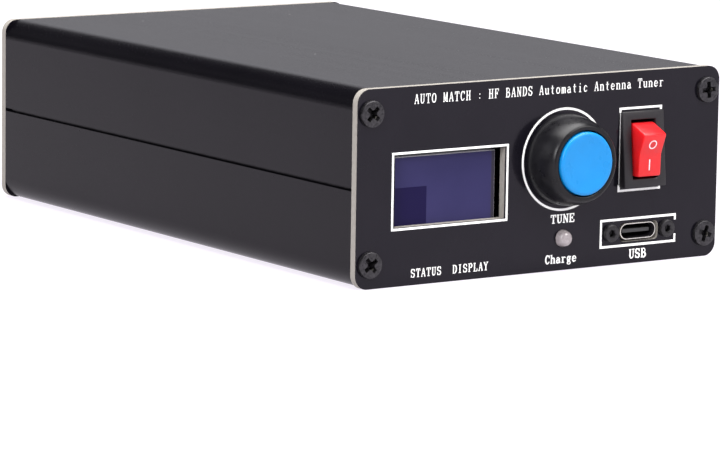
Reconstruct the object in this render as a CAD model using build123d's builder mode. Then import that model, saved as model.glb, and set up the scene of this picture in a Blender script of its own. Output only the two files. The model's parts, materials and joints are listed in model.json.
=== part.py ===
"""Automatic antenna tuner in a split extruded case, 88 x 38.7 x 137.2 mm over its panels.

Frame: millimetres, +X to the right of the front panel, +Y from the front panel to the rear, +Z up.
The origin is the middle of the flat underside of the case.
"""

from build123d import *
import math
import os

os.makedirs("parts", exist_ok=True)

# --------------------------------------------------------------------------------------------
# Driving dimensions
# --------------------------------------------------------------------------------------------

case_width = 88.0
case_height = 38.7
shell_length = 134.0
panel_thickness = 1.6

shell_corner = 4.1
wall = 1.8
seam_gap = 0.7
tongue_height = 2.5
panel_corner = 2.8

shell_front = -shell_length / 2
shell_back = shell_length / 2
front_face = shell_front - panel_thickness
rear_face = shell_back + panel_thickness
inner_half_width = case_width / 2 - wall
seam_height = case_height / 2 - seam_gap / 2

panel_screw_x = 40.8
panel_screw_spacing_z = 29.2
panel_screw_clearance = 1.7
screw_port_radius = 2.9
screw_pilot_radius = 1.3
pan_head_radius = 2.6
pan_head_height = 0.8

main_board_width = 83.8
main_board_length = 96.0
main_board_middle = 12.0
main_board_bottom = 8.0
board_thickness = 1.6

window_width = 26.0
window_height = 14.0
window_x = -22.08
window_z = 18.5

tune_x = 5.3
tune_z = 22.15
tune_travel = 2.0
tune_barrel_radius = 7.85
tune_bore_radius = 6.55
tune_cap_radius = 6.3
tune_stem_radius = 2.5
terminal_width = 2.8
terminal_sheet = 0.6

switch_x = 24.35
switch_z = 23.1
switch_flange_width = 10.4
switch_flange_height = 15.2
switch_flange_top = 0.6
switch_flange_bottom = 2.0
switch_body_width = 8.9
switch_body_height = 13.6
switch_pivot_y = front_face + 1.0
rocker_width = 5.7
rocker_lean = 11.5
contact_lean = 8.0

usb_x = 24.2
usb_z = 6.5
usb_screw_spacing = 14.0
usb_width = 8.94
usb_height = 3.26

lamp_x = 5.44
lamp_z = 6.4
lamp_radius = 1.7

socket_x = 22.0
socket_z = case_height / 2
socket_thread_radius = 7.94
socket_thread_length = 12.5
socket_flange = 25.4
socket_flange_thickness = 2.5
socket_hole_spacing = 18.2

# --------------------------------------------------------------------------------------------
# Shared constructions
# --------------------------------------------------------------------------------------------


def facing(y):
    """Plane at depth y whose local axes are X and Z; its normal looks out of the front."""
    return Plane(origin=(0, y, 0), x_dir=(1, 0, 0), z_dir=(0, -1, 0))


def turning(x, z):
    """Plane through the depth line at (x, z): local x is a radius and local y is the depth."""
    return Plane(origin=(x, 0, z), x_dir=(1, 0, 0), z_dir=(0, 0, 1))


def turned(profile, x, z):
    """Solid of revolution about the depth line at (x, z), from (radius, depth) corners."""
    with BuildPart() as solid:
        with BuildSketch(turning(x, z)):
            with BuildLine():
                Polyline(*profile, close=True)
            make_face()
        revolve(axis=Axis((x, 0, z), (0, 1, 0)))
    return solid.part


def ring(inner, outer, near, far, x, z):
    """Tube between two radii, from depth near to depth far."""
    return turned([(inner, near), (outer, near), (outer, far), (inner, far)], x, z)


def blocks(sizes_and_centres):
    """Group of separate boxes, each given as (size, centre)."""
    with BuildPart() as group:
        for size, centre in sizes_and_centres:
            with Locations(centre):
                Box(*size)
    return group.part


def standing(size, x, y, base):
    """Size and centre of a box that stands at (x, y) on a surface at height base."""
    return size, (x, y, base + size[2] / 2)


def between(low, high):
    """Size and centre of a box given by its two opposite corners."""
    size = tuple(far - near for near, far in zip(low, high))
    centre = tuple((far + near) / 2 for near, far in zip(low, high))
    return size, centre


def wires(routes, radius, bend):
    """Group of round wires, each along straight runs joined by arcs of one bend radius."""
    with BuildPart() as group:
        for route in routes:
            with BuildLine() as path:
                FilletPolyline(*route, radius=bend)
            start = Plane(origin=path.line @ 0, z_dir=path.line % 0)
            with BuildSketch(start):
                Circle(radius)
            sweep(path=path.line)
    return group.part


def save(part, label):
    """Name a finished piece and write it as its own STEP file."""
    part.label = label
    export_step(part, f"parts/{label}.step")


panel_screw_spots = [
    (side * panel_screw_x, case_height / 2 + up * panel_screw_spacing_z / 2)
    for side in (-1, 1)
    for up in (-1, 1)
]

# --------------------------------------------------------------------------------------------
# Case: two extruded halves with a tongue behind the seam, screw ports and board slots
# --------------------------------------------------------------------------------------------

port_low = case_height / 2 - panel_screw_spacing_z / 2
port_high = case_height / 2 + panel_screw_spacing_z / 2
tongue_thickness = wall / 2
tongue_play = 0.05
tongue_top = seam_height + tongue_height
board_rail_depth = 1.2
board_rail_height = 1.2
board_slot_play = 0.05

with BuildPart() as lower_shell:
    with BuildSketch(facing(shell_front)):
        with Locations((0, case_height / 2)):
            RectangleRounded(case_width, case_height, shell_corner)
            RectangleRounded(
                case_width - 2 * wall,
                case_height - 2 * wall,
                shell_corner - wall,
                mode=Mode.SUBTRACT,
            )
        with Locations((0, seam_height)):
            Rectangle(case_width, case_height, align=(Align.CENTER, Align.MIN), mode=Mode.SUBTRACT)
        for side in (-1, 1):
            with Locations((side * (inner_half_width + tongue_thickness / 2 - tongue_play / 2), tongue_top)):
                Rectangle(
                    tongue_thickness - tongue_play,
                    tongue_height + 1.0,
                    align=(Align.CENTER, Align.MAX),
                )
            rail_x = side * (inner_half_width - board_rail_depth / 2 + 0.1)
            rail_low = main_board_bottom - board_slot_play - board_rail_height / 2
            rail_high = main_board_bottom + board_thickness + board_slot_play + board_rail_height / 2
            with Locations((rail_x, rail_low), (rail_x, rail_high)):
                Rectangle(board_rail_depth + 0.2, board_rail_height)
            with Locations((side * panel_screw_x, port_low)):
                Circle(screw_port_radius)
                Circle(screw_pilot_radius, mode=Mode.SUBTRACT)
    extrude(amount=-shell_length)
save(lower_shell.part, "lower_shell")

with BuildPart() as upper_shell:
    with BuildSketch(facing(shell_front)):
        with Locations((0, case_height / 2)):
            RectangleRounded(case_width, case_height, shell_corner)
            RectangleRounded(
                case_width - 2 * wall,
                case_height - 2 * wall,
                shell_corner - wall,
                mode=Mode.SUBTRACT,
            )
        with Locations((0, seam_height + seam_gap)):
            Rectangle(case_width, case_height, align=(Align.CENTER, Align.MAX), mode=Mode.SUBTRACT)
        with Locations((0, tongue_top)):
            Rectangle(
                2 * (inner_half_width + tongue_thickness),
                tongue_height,
                align=(Align.CENTER, Align.MAX),
                mode=Mode.SUBTRACT,
            )
        for side in (-1, 1):
            with Locations((side * panel_screw_x, port_high)):
                Circle(screw_port_radius)
                Circle(screw_pilot_radius, mode=Mode.SUBTRACT)
    extrude(amount=-shell_length)
save(upper_shell.part, "upper_shell")

# --------------------------------------------------------------------------------------------
# Panels: glass-fibre board with the openings for what they carry
# --------------------------------------------------------------------------------------------

tune_hole_radius = 8.05
switch_hole_width = 9.2
switch_hole_height = 14.0
usb_hole_x = usb_x + 0.2
usb_hole_z = usb_z - 0.15
usb_hole_width = 9.6
usb_hole_height = 3.8
usb_hole_corner = 1.0
usb_screw_clearance = 1.15
lamp_hole_radius = 1.8
usb_screw_spots = [(usb_x - usb_screw_spacing / 2, usb_z), (usb_x + usb_screw_spacing / 2, usb_z)]

with BuildPart() as front_panel:
    with BuildSketch(facing(shell_front)):
        with Locations((0, case_height / 2)):
            RectangleRounded(case_width, case_height, panel_corner)
        with Locations(*panel_screw_spots):
            Circle(panel_screw_clearance, mode=Mode.SUBTRACT)
        with Locations((window_x, window_z)):
            Rectangle(window_width, window_height, mode=Mode.SUBTRACT)
        with Locations((tune_x, tune_z)):
            Circle(tune_hole_radius, mode=Mode.SUBTRACT)
        with Locations((switch_x, switch_z)):
            Rectangle(switch_hole_width, switch_hole_height, mode=Mode.SUBTRACT)
        with Locations((usb_hole_x, usb_hole_z)):
            RectangleRounded(usb_hole_width, usb_hole_height, usb_hole_corner, mode=Mode.SUBTRACT)
        with Locations(*usb_screw_spots):
            Circle(usb_screw_clearance, mode=Mode.SUBTRACT)
        with Locations((lamp_x, lamp_z)):
            Circle(lamp_hole_radius, mode=Mode.SUBTRACT)
    extrude(amount=panel_thickness)
save(front_panel.part, "front_panel")

socket_hole_radius = 6.2
socket_screw_clearance = 1.6
socket_screw_spots = [
    (side * socket_x + across * socket_hole_spacing / 2, socket_z + up * socket_hole_spacing / 2)
    for side in (-1, 1)
    for across in (-1, 1)
    for up in (-1, 1)
]

with BuildPart() as rear_panel:
    with BuildSketch(facing(rear_face)):
        with Locations((0, case_height / 2)):
            RectangleRounded(case_width, case_height, panel_corner)
        with Locations(*panel_screw_spots):
            Circle(panel_screw_clearance, mode=Mode.SUBTRACT)
        with Locations((-socket_x, socket_z), (socket_x, socket_z)):
            Circle(socket_hole_radius, mode=Mode.SUBTRACT)
        with Locations(*socket_screw_spots):
            Circle(socket_screw_clearance, mode=Mode.SUBTRACT)
    extrude(amount=panel_thickness)
save(rear_panel.part, "rear_panel")

# --------------------------------------------------------------------------------------------
# Screws and nuts: each kind is made once, seat at the origin and head along +Z, then placed
# --------------------------------------------------------------------------------------------


def screw(head_radius, head_height, shank_radius, shank_length, hex_width=None):
    """Screw with a rounded head and either a cross recess or a hexagon socket."""
    recess_depth = 0.75 * head_height
    arm_length = 1.3 * head_radius
    arm_width = 0.34 * head_radius
    with BuildPart() as fastener:
        Cylinder(head_radius, head_height, align=(Align.CENTER, Align.CENTER, Align.MIN))
        fillet(fastener.edges().group_by(Axis.Z)[-1], 0.3 * head_height)
        with BuildSketch(Plane.XY.offset(head_height)):
            if hex_width:
                RegularPolygon(hex_width / 2, 6, major_radius=False)
            else:
                Rectangle(arm_length, arm_width)
                Rectangle(arm_width, arm_length)
        extrude(amount=-recess_depth, mode=Mode.SUBTRACT)
        Cylinder(shank_radius, shank_length, align=(Align.CENTER, Align.CENTER, Align.MAX))
    return fastener.part


def placed(fastener, spots, y, outward, turns=(0,)):
    """Copies of a fastener seated at depth y on (x, z) spots, its head looking along outward."""
    with BuildPart() as group:
        for index, (x, z) in enumerate(spots):
            seat = Plane(origin=(x, y, z), x_dir=(1, 0, 0), z_dir=(0, outward, 0))
            turn = Rotation(0, 0, turns[index % len(turns)])
            with Locations(seat.location * turn):
                add(fastener)
    return group.part


panel_screw = screw(pan_head_radius, pan_head_height, 1.25, 8.0)
front_turns = (38, 48, 72, 4)
rear_turns = (15, 60, 33, 80)
save(placed(panel_screw, panel_screw_spots, front_face, -1, front_turns), "front_panel_screws")
save(placed(panel_screw, panel_screw_spots, rear_face, 1, rear_turns), "rear_panel_screws")

# --------------------------------------------------------------------------------------------
# Push button: bezel with threaded barrel, washer, nut, cap on a sprung stem, contacts
# --------------------------------------------------------------------------------------------

bezel_front = front_face - 7.2
flange_radius = 9.15
skirt_radius = 9.05
skirt_front = front_face - 0.6
rim_radius = 7.45
cap_front = front_face - 7.75
cap_skirt = 6.5
cap_wall = 1.0
guide_front = front_face + 6.5
guide_back = front_face + 9.0
barrel_back = front_face + 15.0
guide_bore_radius = 2.58
cap_underside = cap_front + 2.2

with BuildPart() as tune_bezel:
    with BuildSketch(turning(tune_x, tune_z)):
        with BuildLine():
            skirt_start = (skirt_radius, skirt_front)
            rim_outer = (rim_radius, bezel_front)
            Polyline(
                (tune_barrel_radius, barrel_back),
                (tune_barrel_radius, front_face),
                (flange_radius, front_face),
                skirt_start,
            )
            ThreePointArc(skirt_start, (8.72, front_face - 4.3), rim_outer)
            Polyline(
                rim_outer,
                (tune_bore_radius, bezel_front),
                (tune_bore_radius, guide_front),
                (guide_bore_radius, guide_front),
                (guide_bore_radius, guide_back),
                (tune_bore_radius, guide_back),
                (tune_bore_radius, barrel_back),
                (tune_barrel_radius, barrel_back),
            )
        make_face()
    revolve(axis=Axis((tune_x, 0, tune_z), (0, 1, 0)))
save(tune_bezel.part, "tune_bezel")

washer_back = shell_front + 0.6
nut_back = washer_back + 2.5
washer_outer = 10.4
nut_across_flats = 19.0
save(ring(tune_hole_radius, washer_outer, shell_front, washer_back, tune_x, tune_z), "tune_washer")

with BuildPart() as tune_nut:
    with BuildSketch(facing(washer_back)):
        with Locations((tune_x, tune_z)):
            RegularPolygon(nut_across_flats / 2, 6, major_radius=False)
            Circle(tune_barrel_radius + 0.05, mode=Mode.SUBTRACT)
    extrude(amount=-(nut_back - washer_back))
save(tune_nut.part, "tune_nut")

stem_end = guide_back + 1.1
save(
    turned(
        [
            (0, cap_front + 0.25),
            (3.4, cap_front + 0.15),
            (5.85, cap_front),
            (tune_cap_radius, cap_front + 0.45),
            (tune_cap_radius, cap_front + cap_skirt),
            (tune_cap_radius - cap_wall, cap_front + cap_skirt),
            (tune_cap_radius - cap_wall, cap_underside),
            (tune_stem_radius, cap_underside),
            (tune_stem_radius, stem_end),
            (0, stem_end),
        ],
        tune_x,
        tune_z,
    ),
    "tune_cap",
)

spring_radius = 3.8
spring_wire = 0.35
spring_turns = 6
spring_start = cap_underside + spring_wire
spring_length = guide_front - cap_underside - 2 * spring_wire

with BuildPart() as tune_spring:
    with BuildLine() as coil:
        Helix(
            pitch=spring_length / spring_turns,
            height=spring_length,
            radius=spring_radius,
            center=(tune_x, spring_start, tune_z),
            direction=(0, 1, 0),
        )
    with BuildSketch(Plane(origin=coil.line @ 0, z_dir=coil.line % 0)):
        Circle(spring_wire)
    sweep(path=coil.line, is_frenet=True)
save(tune_spring.part, "tune_spring")

bridge_front = guide_back + 0.1
bridge_back = bridge_front + 0.5
bridge_radius = 4.8
save(
    ring(tune_stem_radius, bridge_radius, bridge_front, bridge_back, tune_x, tune_z),
    "tune_bridge_contact",
)

terminal_front = bridge_back + tune_travel + 0.1
insulator_front = guide_back + 4.0
insulator_back = barrel_back + 1.5
tune_terminal_end = insulator_back + 7.5
tune_terminal_offset = 3.6

tune_terminal_spots = [
    (tune_x - tune_terminal_offset, tune_z),
    (tune_x + tune_terminal_offset, tune_z),
]

with BuildPart() as tune_insulator:
    with BuildSketch(turning(tune_x, tune_z)):
        with BuildLine():
            Polyline(
                (0, insulator_front),
                (tune_bore_radius, insulator_front),
                (tune_bore_radius, barrel_back),
                (tune_barrel_radius, barrel_back),
                (tune_barrel_radius, insulator_back),
                (0, insulator_back),
                close=True,
            )
        make_face()
    revolve(axis=Axis((tune_x, 0, tune_z), (0, 1, 0)))
    with BuildSketch(facing(insulator_front)):
        with Locations(*tune_terminal_spots):
            Rectangle(terminal_sheet, terminal_width)
    extrude(amount=-(insulator_back - insulator_front), mode=Mode.SUBTRACT)
save(tune_insulator.part, "tune_insulator")

with BuildPart() as tune_terminals:
    with BuildSketch(facing(terminal_front)):
        with Locations(*tune_terminal_spots):
            Rectangle(terminal_sheet, terminal_width)
    extrude(amount=-(tune_terminal_end - terminal_front))
save(tune_terminals.part, "tune_terminals")

# --------------------------------------------------------------------------------------------
# Power switch: snap-in frame, rocker on a pivot pin, plunger, rocking contact, two terminals
# --------------------------------------------------------------------------------------------

switch_back = front_face + 12.5
switch_floor = front_face + 11.0
switch_cavity_height = 11.8
switch_cavity_play = 0.4
catch_width = 4.0
catch_height = 0.7
rocker_pin_radius = 0.9
rocker_pin_play = 0.05
rocker_pin_reach = 4.0
contact_pivot_y = switch_pivot_y + 7.4
fixed_contact_z = switch_z + 3.8
switch_terminal_end = switch_back + 6.5

with BuildPart() as switch_frame:
    with BuildSketch(Plane.YZ.offset(switch_x - switch_flange_width / 2)):
        with BuildLine():
            Polyline(
                (front_face, switch_z - switch_flange_height / 2),
                (front_face - switch_flange_bottom, switch_z - switch_flange_height / 2),
                (front_face - switch_flange_top, switch_z + switch_flange_height / 2),
                (front_face, switch_z + switch_flange_height / 2),
                close=True,
            )
        make_face()
    extrude(amount=switch_flange_width)
    with BuildSketch(facing(front_face)):
        with Locations((switch_x, switch_z)):
            Rectangle(switch_body_width, switch_body_height)
    extrude(amount=-(switch_back - front_face))
    with BuildSketch(Plane.YZ.offset(switch_x - catch_width / 2)):
        for up in (-1, 1):
            catch_z = switch_z + up * switch_body_height / 2
            with BuildLine():
                Polyline(
                    (shell_front + 0.1, catch_z),
                    (shell_front + 0.1, catch_z + up * catch_height),
                    (shell_front + 3.0, catch_z),
                    close=True,
                )
            make_face()
    extrude(amount=catch_width)
    with BuildSketch(facing(front_face - switch_flange_bottom)):
        with Locations((switch_x, switch_z)):
            Rectangle(rocker_width + switch_cavity_play, switch_cavity_height)
    extrude(amount=-(switch_floor - front_face + switch_flange_bottom), mode=Mode.SUBTRACT)
    with BuildSketch(Plane.YZ.offset(switch_x - rocker_pin_reach - 0.1)):
        with Locations((switch_pivot_y, switch_z)):
            Circle(rocker_pin_radius + rocker_pin_play)
    extrude(amount=2 * rocker_pin_reach + 0.2, mode=Mode.SUBTRACT)
    with BuildSketch(facing(switch_floor)):
        with Locations((switch_x, switch_z), (switch_x, fixed_contact_z)):
            Rectangle(terminal_width, terminal_sheet)
    extrude(amount=-(switch_back - switch_floor), mode=Mode.SUBTRACT)
save(switch_frame.part, "switch_frame")


def leaning(x, y, lean):
    """Plane square to X at (x, y, switch_z): local x runs up the part, local y runs out of the
    front, both turned by the lean so that the upper end stands further out."""
    lean = math.radians(lean)
    return Plane(origin=(x, y, switch_z), x_dir=(0, -math.sin(lean), math.cos(lean)), z_dir=(1, 0, 0))


plunger_radius = 0.9
plunger_tip = -6.9
plunger_top = -1.6
plunger_pocket = 2.2
plunger_pocket_middle = -2.6
ridge_radius = 0.5
contact_arm = 4.4
contact_width = 3.2
contact_sheet = 0.6

with BuildPart() as power_rocker:
    with BuildSketch(leaning(switch_x - rocker_width / 2, switch_pivot_y, rocker_lean)):
        with BuildLine():
            Polyline(
                (1.9, -3.6),
                (1.9, -1.3),
                (5.2, -0.6),
                (5.55, 0.27),
                (5.35, 1.3),
                (4.5, 5.0),
                (0, 4.25),
                (-4.5, 5.0),
                (-5.35, 1.3),
                (-5.55, 0.27),
                (-5.2, -0.6),
                (-1.9, -1.3),
                (-1.9, -3.6),
                close=True,
            )
        make_face()
    extrude(amount=rocker_width)
    face_edges = power_rocker.edges().filter_by(Axis.X)
    upper_ridge = face_edges.sort_by_distance((switch_x, switch_pivot_y - 5.8, switch_z + 3.4))[0]
    fillet(upper_ridge, ridge_radius)
    with BuildSketch(leaning(switch_x - rocker_pin_reach, switch_pivot_y, rocker_lean)):
        Circle(rocker_pin_radius)
    extrude(amount=2 * rocker_pin_reach)
    with BuildSketch(leaning(switch_x - plunger_pocket / 2, switch_pivot_y, rocker_lean)):
        with Locations((0, plunger_pocket_middle)):
            Rectangle(plunger_pocket, plunger_pocket)
    extrude(amount=plunger_pocket, mode=Mode.SUBTRACT)
save(power_rocker.part, "power_rocker")

with BuildPart() as switch_plunger:
    with BuildSketch(leaning(switch_x, switch_pivot_y, rocker_lean)):
        with BuildLine():
            Polyline(
                (0, plunger_tip + plunger_radius),
                (0, plunger_top),
                (plunger_radius, plunger_top),
                (plunger_radius, plunger_tip + plunger_radius),
            )
            ThreePointArc(
                (plunger_radius, plunger_tip + plunger_radius),
                (plunger_radius * math.sqrt(0.5), plunger_tip + plunger_radius * (1 - math.sqrt(0.5))),
                (0, plunger_tip),
            )
            Line((0, plunger_tip), (0, plunger_tip + plunger_radius))
        make_face()
    stroke = leaning(switch_x, switch_pivot_y, rocker_lean)
    revolve(axis=Axis(stroke.origin, stroke.y_dir))
save(switch_plunger.part, "switch_plunger")

with BuildPart() as switch_contact:
    with BuildSketch(leaning(switch_x - contact_width / 2, contact_pivot_y, -contact_lean)):
        Rectangle(2 * contact_arm, contact_sheet)
    extrude(amount=contact_width)
save(switch_contact.part, "switch_contact")

fulcrum_front = contact_pivot_y + 0.5
fixed_contact_front = contact_pivot_y + 3.8 * math.sin(math.radians(contact_lean)) + 0.5

with BuildPart() as switch_terminals:
    for height, near in ((switch_z, fulcrum_front), (fixed_contact_z, fixed_contact_front)):
        with BuildSketch(facing(near)):
            with Locations((switch_x, height)):
                Rectangle(terminal_width, terminal_sheet)
        extrude(amount=-(switch_terminal_end - near))
save(switch_terminals.part, "switch_terminals")

# --------------------------------------------------------------------------------------------
# Charging socket with its housing and screws, charger board, charge lamp
# --------------------------------------------------------------------------------------------

usb_back = front_face + 7.3
usb_base_front = usb_back - 1.8
usb_skin = 0.3
usb_housing_back = front_face + 7.5
usb_housing_width = 19.2
usb_housing_height = 6.2
usb_tongue_front = front_face + 0.8
usb_tongue_width = 6.69
usb_tongue_thickness = 0.7

with BuildPart() as usb_shell:
    with BuildSketch(facing(front_face)):
        with Locations((usb_x, usb_z)):
            SlotOverall(usb_width, usb_height)
            SlotOverall(usb_width - 2 * usb_skin, usb_height - 2 * usb_skin, mode=Mode.SUBTRACT)
    extrude(amount=-(usb_back - front_face))
save(usb_shell.part, "usb_shell")

with BuildPart() as usb_tongue:
    with BuildSketch(facing(usb_base_front)):
        with Locations((usb_x, usb_z)):
            SlotOverall(usb_width - 2 * usb_skin, usb_height - 2 * usb_skin)
    extrude(amount=-(usb_back - usb_base_front))
    with BuildSketch(facing(usb_tongue_front)):
        with Locations((usb_x, usb_z)):
            Rectangle(usb_tongue_width, usb_tongue_thickness)
    extrude(amount=-(usb_base_front - usb_tongue_front))
save(usb_tongue.part, "usb_tongue")

with BuildPart() as usb_housing:
    with BuildSketch(facing(shell_front)):
        with Locations((usb_x, usb_z)):
            Rectangle(usb_housing_width, usb_housing_height)
            SlotOverall(usb_width + 0.06, usb_height + 0.06, mode=Mode.SUBTRACT)
        with Locations(*usb_screw_spots):
            Circle(1.0, mode=Mode.SUBTRACT)
    extrude(amount=-(usb_housing_back - shell_front))
save(usb_housing.part, "usb_housing")

usb_screw = screw(1.75, 0.9, 0.98, 6.0, hex_width=1.3)
save(placed(usb_screw, usb_screw_spots, front_face, -1, (10, 24)), "usb_screws")

charger_top = 4.9
charger_bottom = 3.7
charger_left = 1.0
charger_right = 37.0
charger_board_front = usb_housing_back + 0.1
charger_board_back = -38.0
charge_coil_size = (6.2, 6.2, 3.0)
charge_chip_size = (5.0, 4.0, 1.6)
charge_capacitor_size = (3.2, 1.6, 1.6)
charge_diode_size = (4.5, 2.2, 1.4)
charge_plug_size = (6.0, 5.0, 5.0)
charge_plug_y = -41.0

save(
    blocks(
        [
            between(
                (charger_left, charger_board_front, charger_bottom),
                (charger_right, charger_board_back, charger_top),
            )
        ]
    ),
    "charger_board",
)
save(
    blocks(
        [
            standing(charge_coil_size, 31.0, -45.0, charger_top),
            standing(charge_chip_size, 22.0, -50.0, charger_top),
            standing(charge_chip_size, 13.0, -50.0, charger_top),
            standing(charge_capacitor_size, 22.0, -56.0, charger_top),
            standing(charge_capacitor_size, 30.0, -53.0, charger_top),
            standing(charge_diode_size, 30.0, -57.0, charger_top),
            standing(charge_plug_size, 5.0, charge_plug_y, charger_top),
            standing(charge_plug_size, 15.0, charge_plug_y, charger_top),
        ]
    ),
    "charger_components",
)

lamp_back = front_face + 6.0
save(
    turned(
        [
            (0, front_face - 1.75),
            (0.85, front_face - 1.62),
            (1.4, front_face - 1.2),
            (1.62, front_face - 0.6),
            (lamp_radius, front_face),
            (lamp_radius, shell_front + 0.1),
            (2.3, shell_front + 0.1),
            (2.3, lamp_back),
            (0, lamp_back),
        ],
        lamp_x,
        lamp_z,
    ),
    "charge_lamp",
)

lead_offset = 1.27
lead_radius = 0.25
lead_bend = 0.8
lead_landing = -59.0
lead_routes = [
    [
        (lamp_x + side * lead_offset, lamp_back, lamp_z),
        (lamp_x + side * lead_offset, lead_landing, lamp_z),
        (lamp_x + side * lead_offset, lead_landing, charger_top),
    ]
    for side in (-1, 1)
]
save(wires(lead_routes, lead_radius, lead_bend), "charge_lamp_leads")

# --------------------------------------------------------------------------------------------
# Display: glass behind the window, its board, foam strips, pin header
# --------------------------------------------------------------------------------------------

glass_left = -37.0
glass_right = -10.3
glass_bottom = 5.7
glass_top = 24.9
glass_back = shell_front + 1.5
display_board_margin = 0.3
display_board_bottom = 4.0
display_board_top = 31.5
display_board_back = glass_back + 1.2
foam_width = 24.0
lower_foam_bottom = 4.1
lower_foam_top = 5.5
upper_foam_bottom = 25.4
upper_foam_top = 28.2
header_x = (glass_left + glass_right) / 2
header_z = 30.0
header_depth = 2.5
pin_pitch = 2.54
pin_count = 4
foam_left = header_x - foam_width / 2
foam_right = header_x + foam_width / 2

save(
    blocks([between((glass_left, shell_front, glass_bottom), (glass_right, glass_back, glass_top))]),
    "display_glass",
)
save(
    blocks(
        [
            between(
                (glass_left - display_board_margin, glass_back, display_board_bottom),
                (glass_right + display_board_margin, display_board_back, display_board_top),
            )
        ]
    ),
    "display_board",
)
save(
    blocks(
        [
            between(
                (foam_left, shell_front, lower_foam_bottom),
                (foam_right, glass_back, lower_foam_top),
            ),
            between(
                (foam_left, shell_front, upper_foam_bottom),
                (foam_right, glass_back, upper_foam_top),
            ),
        ]
    ),
    "display_foam_strips",
)
header_pins = [header_x + (index - (pin_count - 1) / 2) * pin_pitch for index in range(pin_count)]
header_size = (pin_count * pin_pitch, header_depth, header_depth)
header_centre = (header_x, display_board_back + header_depth / 2, header_z)
save(blocks([(header_size, header_centre)]), "display_header")

# --------------------------------------------------------------------------------------------
# Main board with the switched coils and capacitors, measuring transformer and controller
# --------------------------------------------------------------------------------------------

board_top = main_board_bottom + board_thickness
main_board_size = (main_board_width, main_board_length, board_thickness)
relay_count = 7
relay_length = 15.4
relay_breadth = 10.2
relay_height = 11.4
relay_pitch = 10.7
relay_first = -17.0
relay_column = 10.5
relay_rows = [relay_first + index * relay_pitch for index in range(relay_count)]
bypass_relay_spot = (33.0, -11.0)

save(blocks([standing(main_board_size, 0, main_board_middle, main_board_bottom)]), "main_board")
for name, column in (("coil_relays", -relay_column), ("capacitor_relays", relay_column)):
    relay_size = (relay_length, relay_breadth, relay_height)
    save(blocks([standing(relay_size, column, row, board_top) for row in relay_rows]), name)
bypass_relay_size = (relay_breadth, relay_length, relay_height)
save(blocks([standing(bypass_relay_size, *bypass_relay_spot, board_top)]), "bypass_relay")

core_radius = 6.0
core_section = 2.4
core_stand = 0.9
core_turns = 16
winding_wire = 0.35
winding_play = 0.05
core_x = -30.5
core_rows = [-7.0, 12.0, 31.0]

with BuildPart() as coil_cores:
    with Locations(*[(core_x, row, board_top + core_stand + core_section) for row in core_rows]):
        Torus(core_radius, core_section)
save(coil_cores.part, "coil_cores")

with BuildPart() as coil_windings:
    for row in core_rows:
        around = Plane(origin=(core_x, row, board_top + core_stand + core_section))
        for index in range(core_turns):
            angle = math.radians(20 + index * 320 / (core_turns - 1))
            outward = Vector(math.cos(angle), math.sin(angle), 0)
            along = Vector(-math.sin(angle), math.cos(angle), 0)
            spot = Plane(origin=around.origin + outward * core_radius, x_dir=outward, z_dir=along)
            with Locations(spot.location):
                Torus(core_section + winding_wire + winding_play, winding_wire)
save(coil_windings.part, "coil_windings")

air_coil_radius = 3.0
air_coil_wire = 0.5
air_coil_length = 9.0
air_coil_rows = [-28.0, -20.8]
air_coil_columns = [-40.0, -29.2]

with BuildPart() as air_coils:
    for row in air_coil_rows:
        for column in air_coil_columns:
            start = (column, row, board_top + air_coil_radius + air_coil_wire)
            with BuildLine() as coil:
                Helix(
                    pitch=1.8,
                    height=air_coil_length,
                    radius=air_coil_radius,
                    center=start,
                    direction=(1, 0, 0),
                )
            with BuildSketch(Plane(origin=coil.line @ 0, z_dir=coil.line % 0)):
                Circle(air_coil_wire)
            sweep(path=coil.line, is_frenet=True)
save(air_coils.part, "air_coils")

disc_radius = 3.6
disc_thickness = 2.6
disc_x = 26.0
disc_height = board_top + 4.6

with BuildPart() as tuning_capacitors:
    with Locations(*[(disc_x, row, disc_height) for row in relay_rows]):
        Cylinder(disc_radius, disc_thickness, rotation=(0, 90, 0))
save(tuning_capacitors.part, "tuning_capacitors")

transformer_columns = [-36.0, -27.0]
transformer_y = 50.0
transformer_height = board_top + 5.7
transformer_radius = 3.4
transformer_section = 1.6
transformer_wire = 0.25
transformer_turns = 10

with BuildPart() as transformer_cores:
    with Locations(*[(column, transformer_y, transformer_height) for column in transformer_columns]):
        Torus(transformer_radius, transformer_section, rotation=(0, 90, 0))
save(transformer_cores.part, "transformer_cores")

with BuildPart() as transformer_windings:
    for column in transformer_columns:
        middle = Vector(column, transformer_y, transformer_height)
        for index in range(transformer_turns):
            angle = math.radians(index * 360 / transformer_turns)
            outward = Vector(0, math.cos(angle), math.sin(angle))
            along = Vector(0, -math.sin(angle), math.cos(angle))
            spot = Plane(origin=middle + outward * transformer_radius, x_dir=outward, z_dir=along)
            with Locations(spot.location):
                Torus(transformer_section + transformer_wire + winding_play, transformer_wire)
save(transformer_windings.part, "transformer_windings")

controller_x = 9.0
controller_y = -30.0
controller_socket_size = (35.6, 8.0, 3.6)
controller_size = (35.2, 7.0, 3.4)
controller_base = board_top + controller_socket_size[2]
save(
    blocks([standing(controller_socket_size, controller_x, controller_y, board_top)]),
    "controller_socket",
)
save(blocks([standing(controller_size, controller_x, controller_y, controller_base)]), "controller")

regulator_size = (10.2, 4.4, 15.2)
regulator_tab_size = (10.0, 1.2, 4.0)
save(
    blocks(
        [
            standing(regulator_size, 35.0, -31.0, board_top),
            standing(regulator_tab_size, 35.0, -32.6, board_top + regulator_size[2]),
        ]
    ),
    "voltage_regulator",
)

can_radius = 4.0
can_height = 11.0
with BuildPart() as electrolytic_capacitors:
    with Locations((36.0, 10.0, board_top), (36.0, 22.0, board_top)):
        Cylinder(can_radius, can_height, align=(Align.CENTER, Align.CENTER, Align.MIN))
save(electrolytic_capacitors.part, "electrolytic_capacitors")

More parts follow.
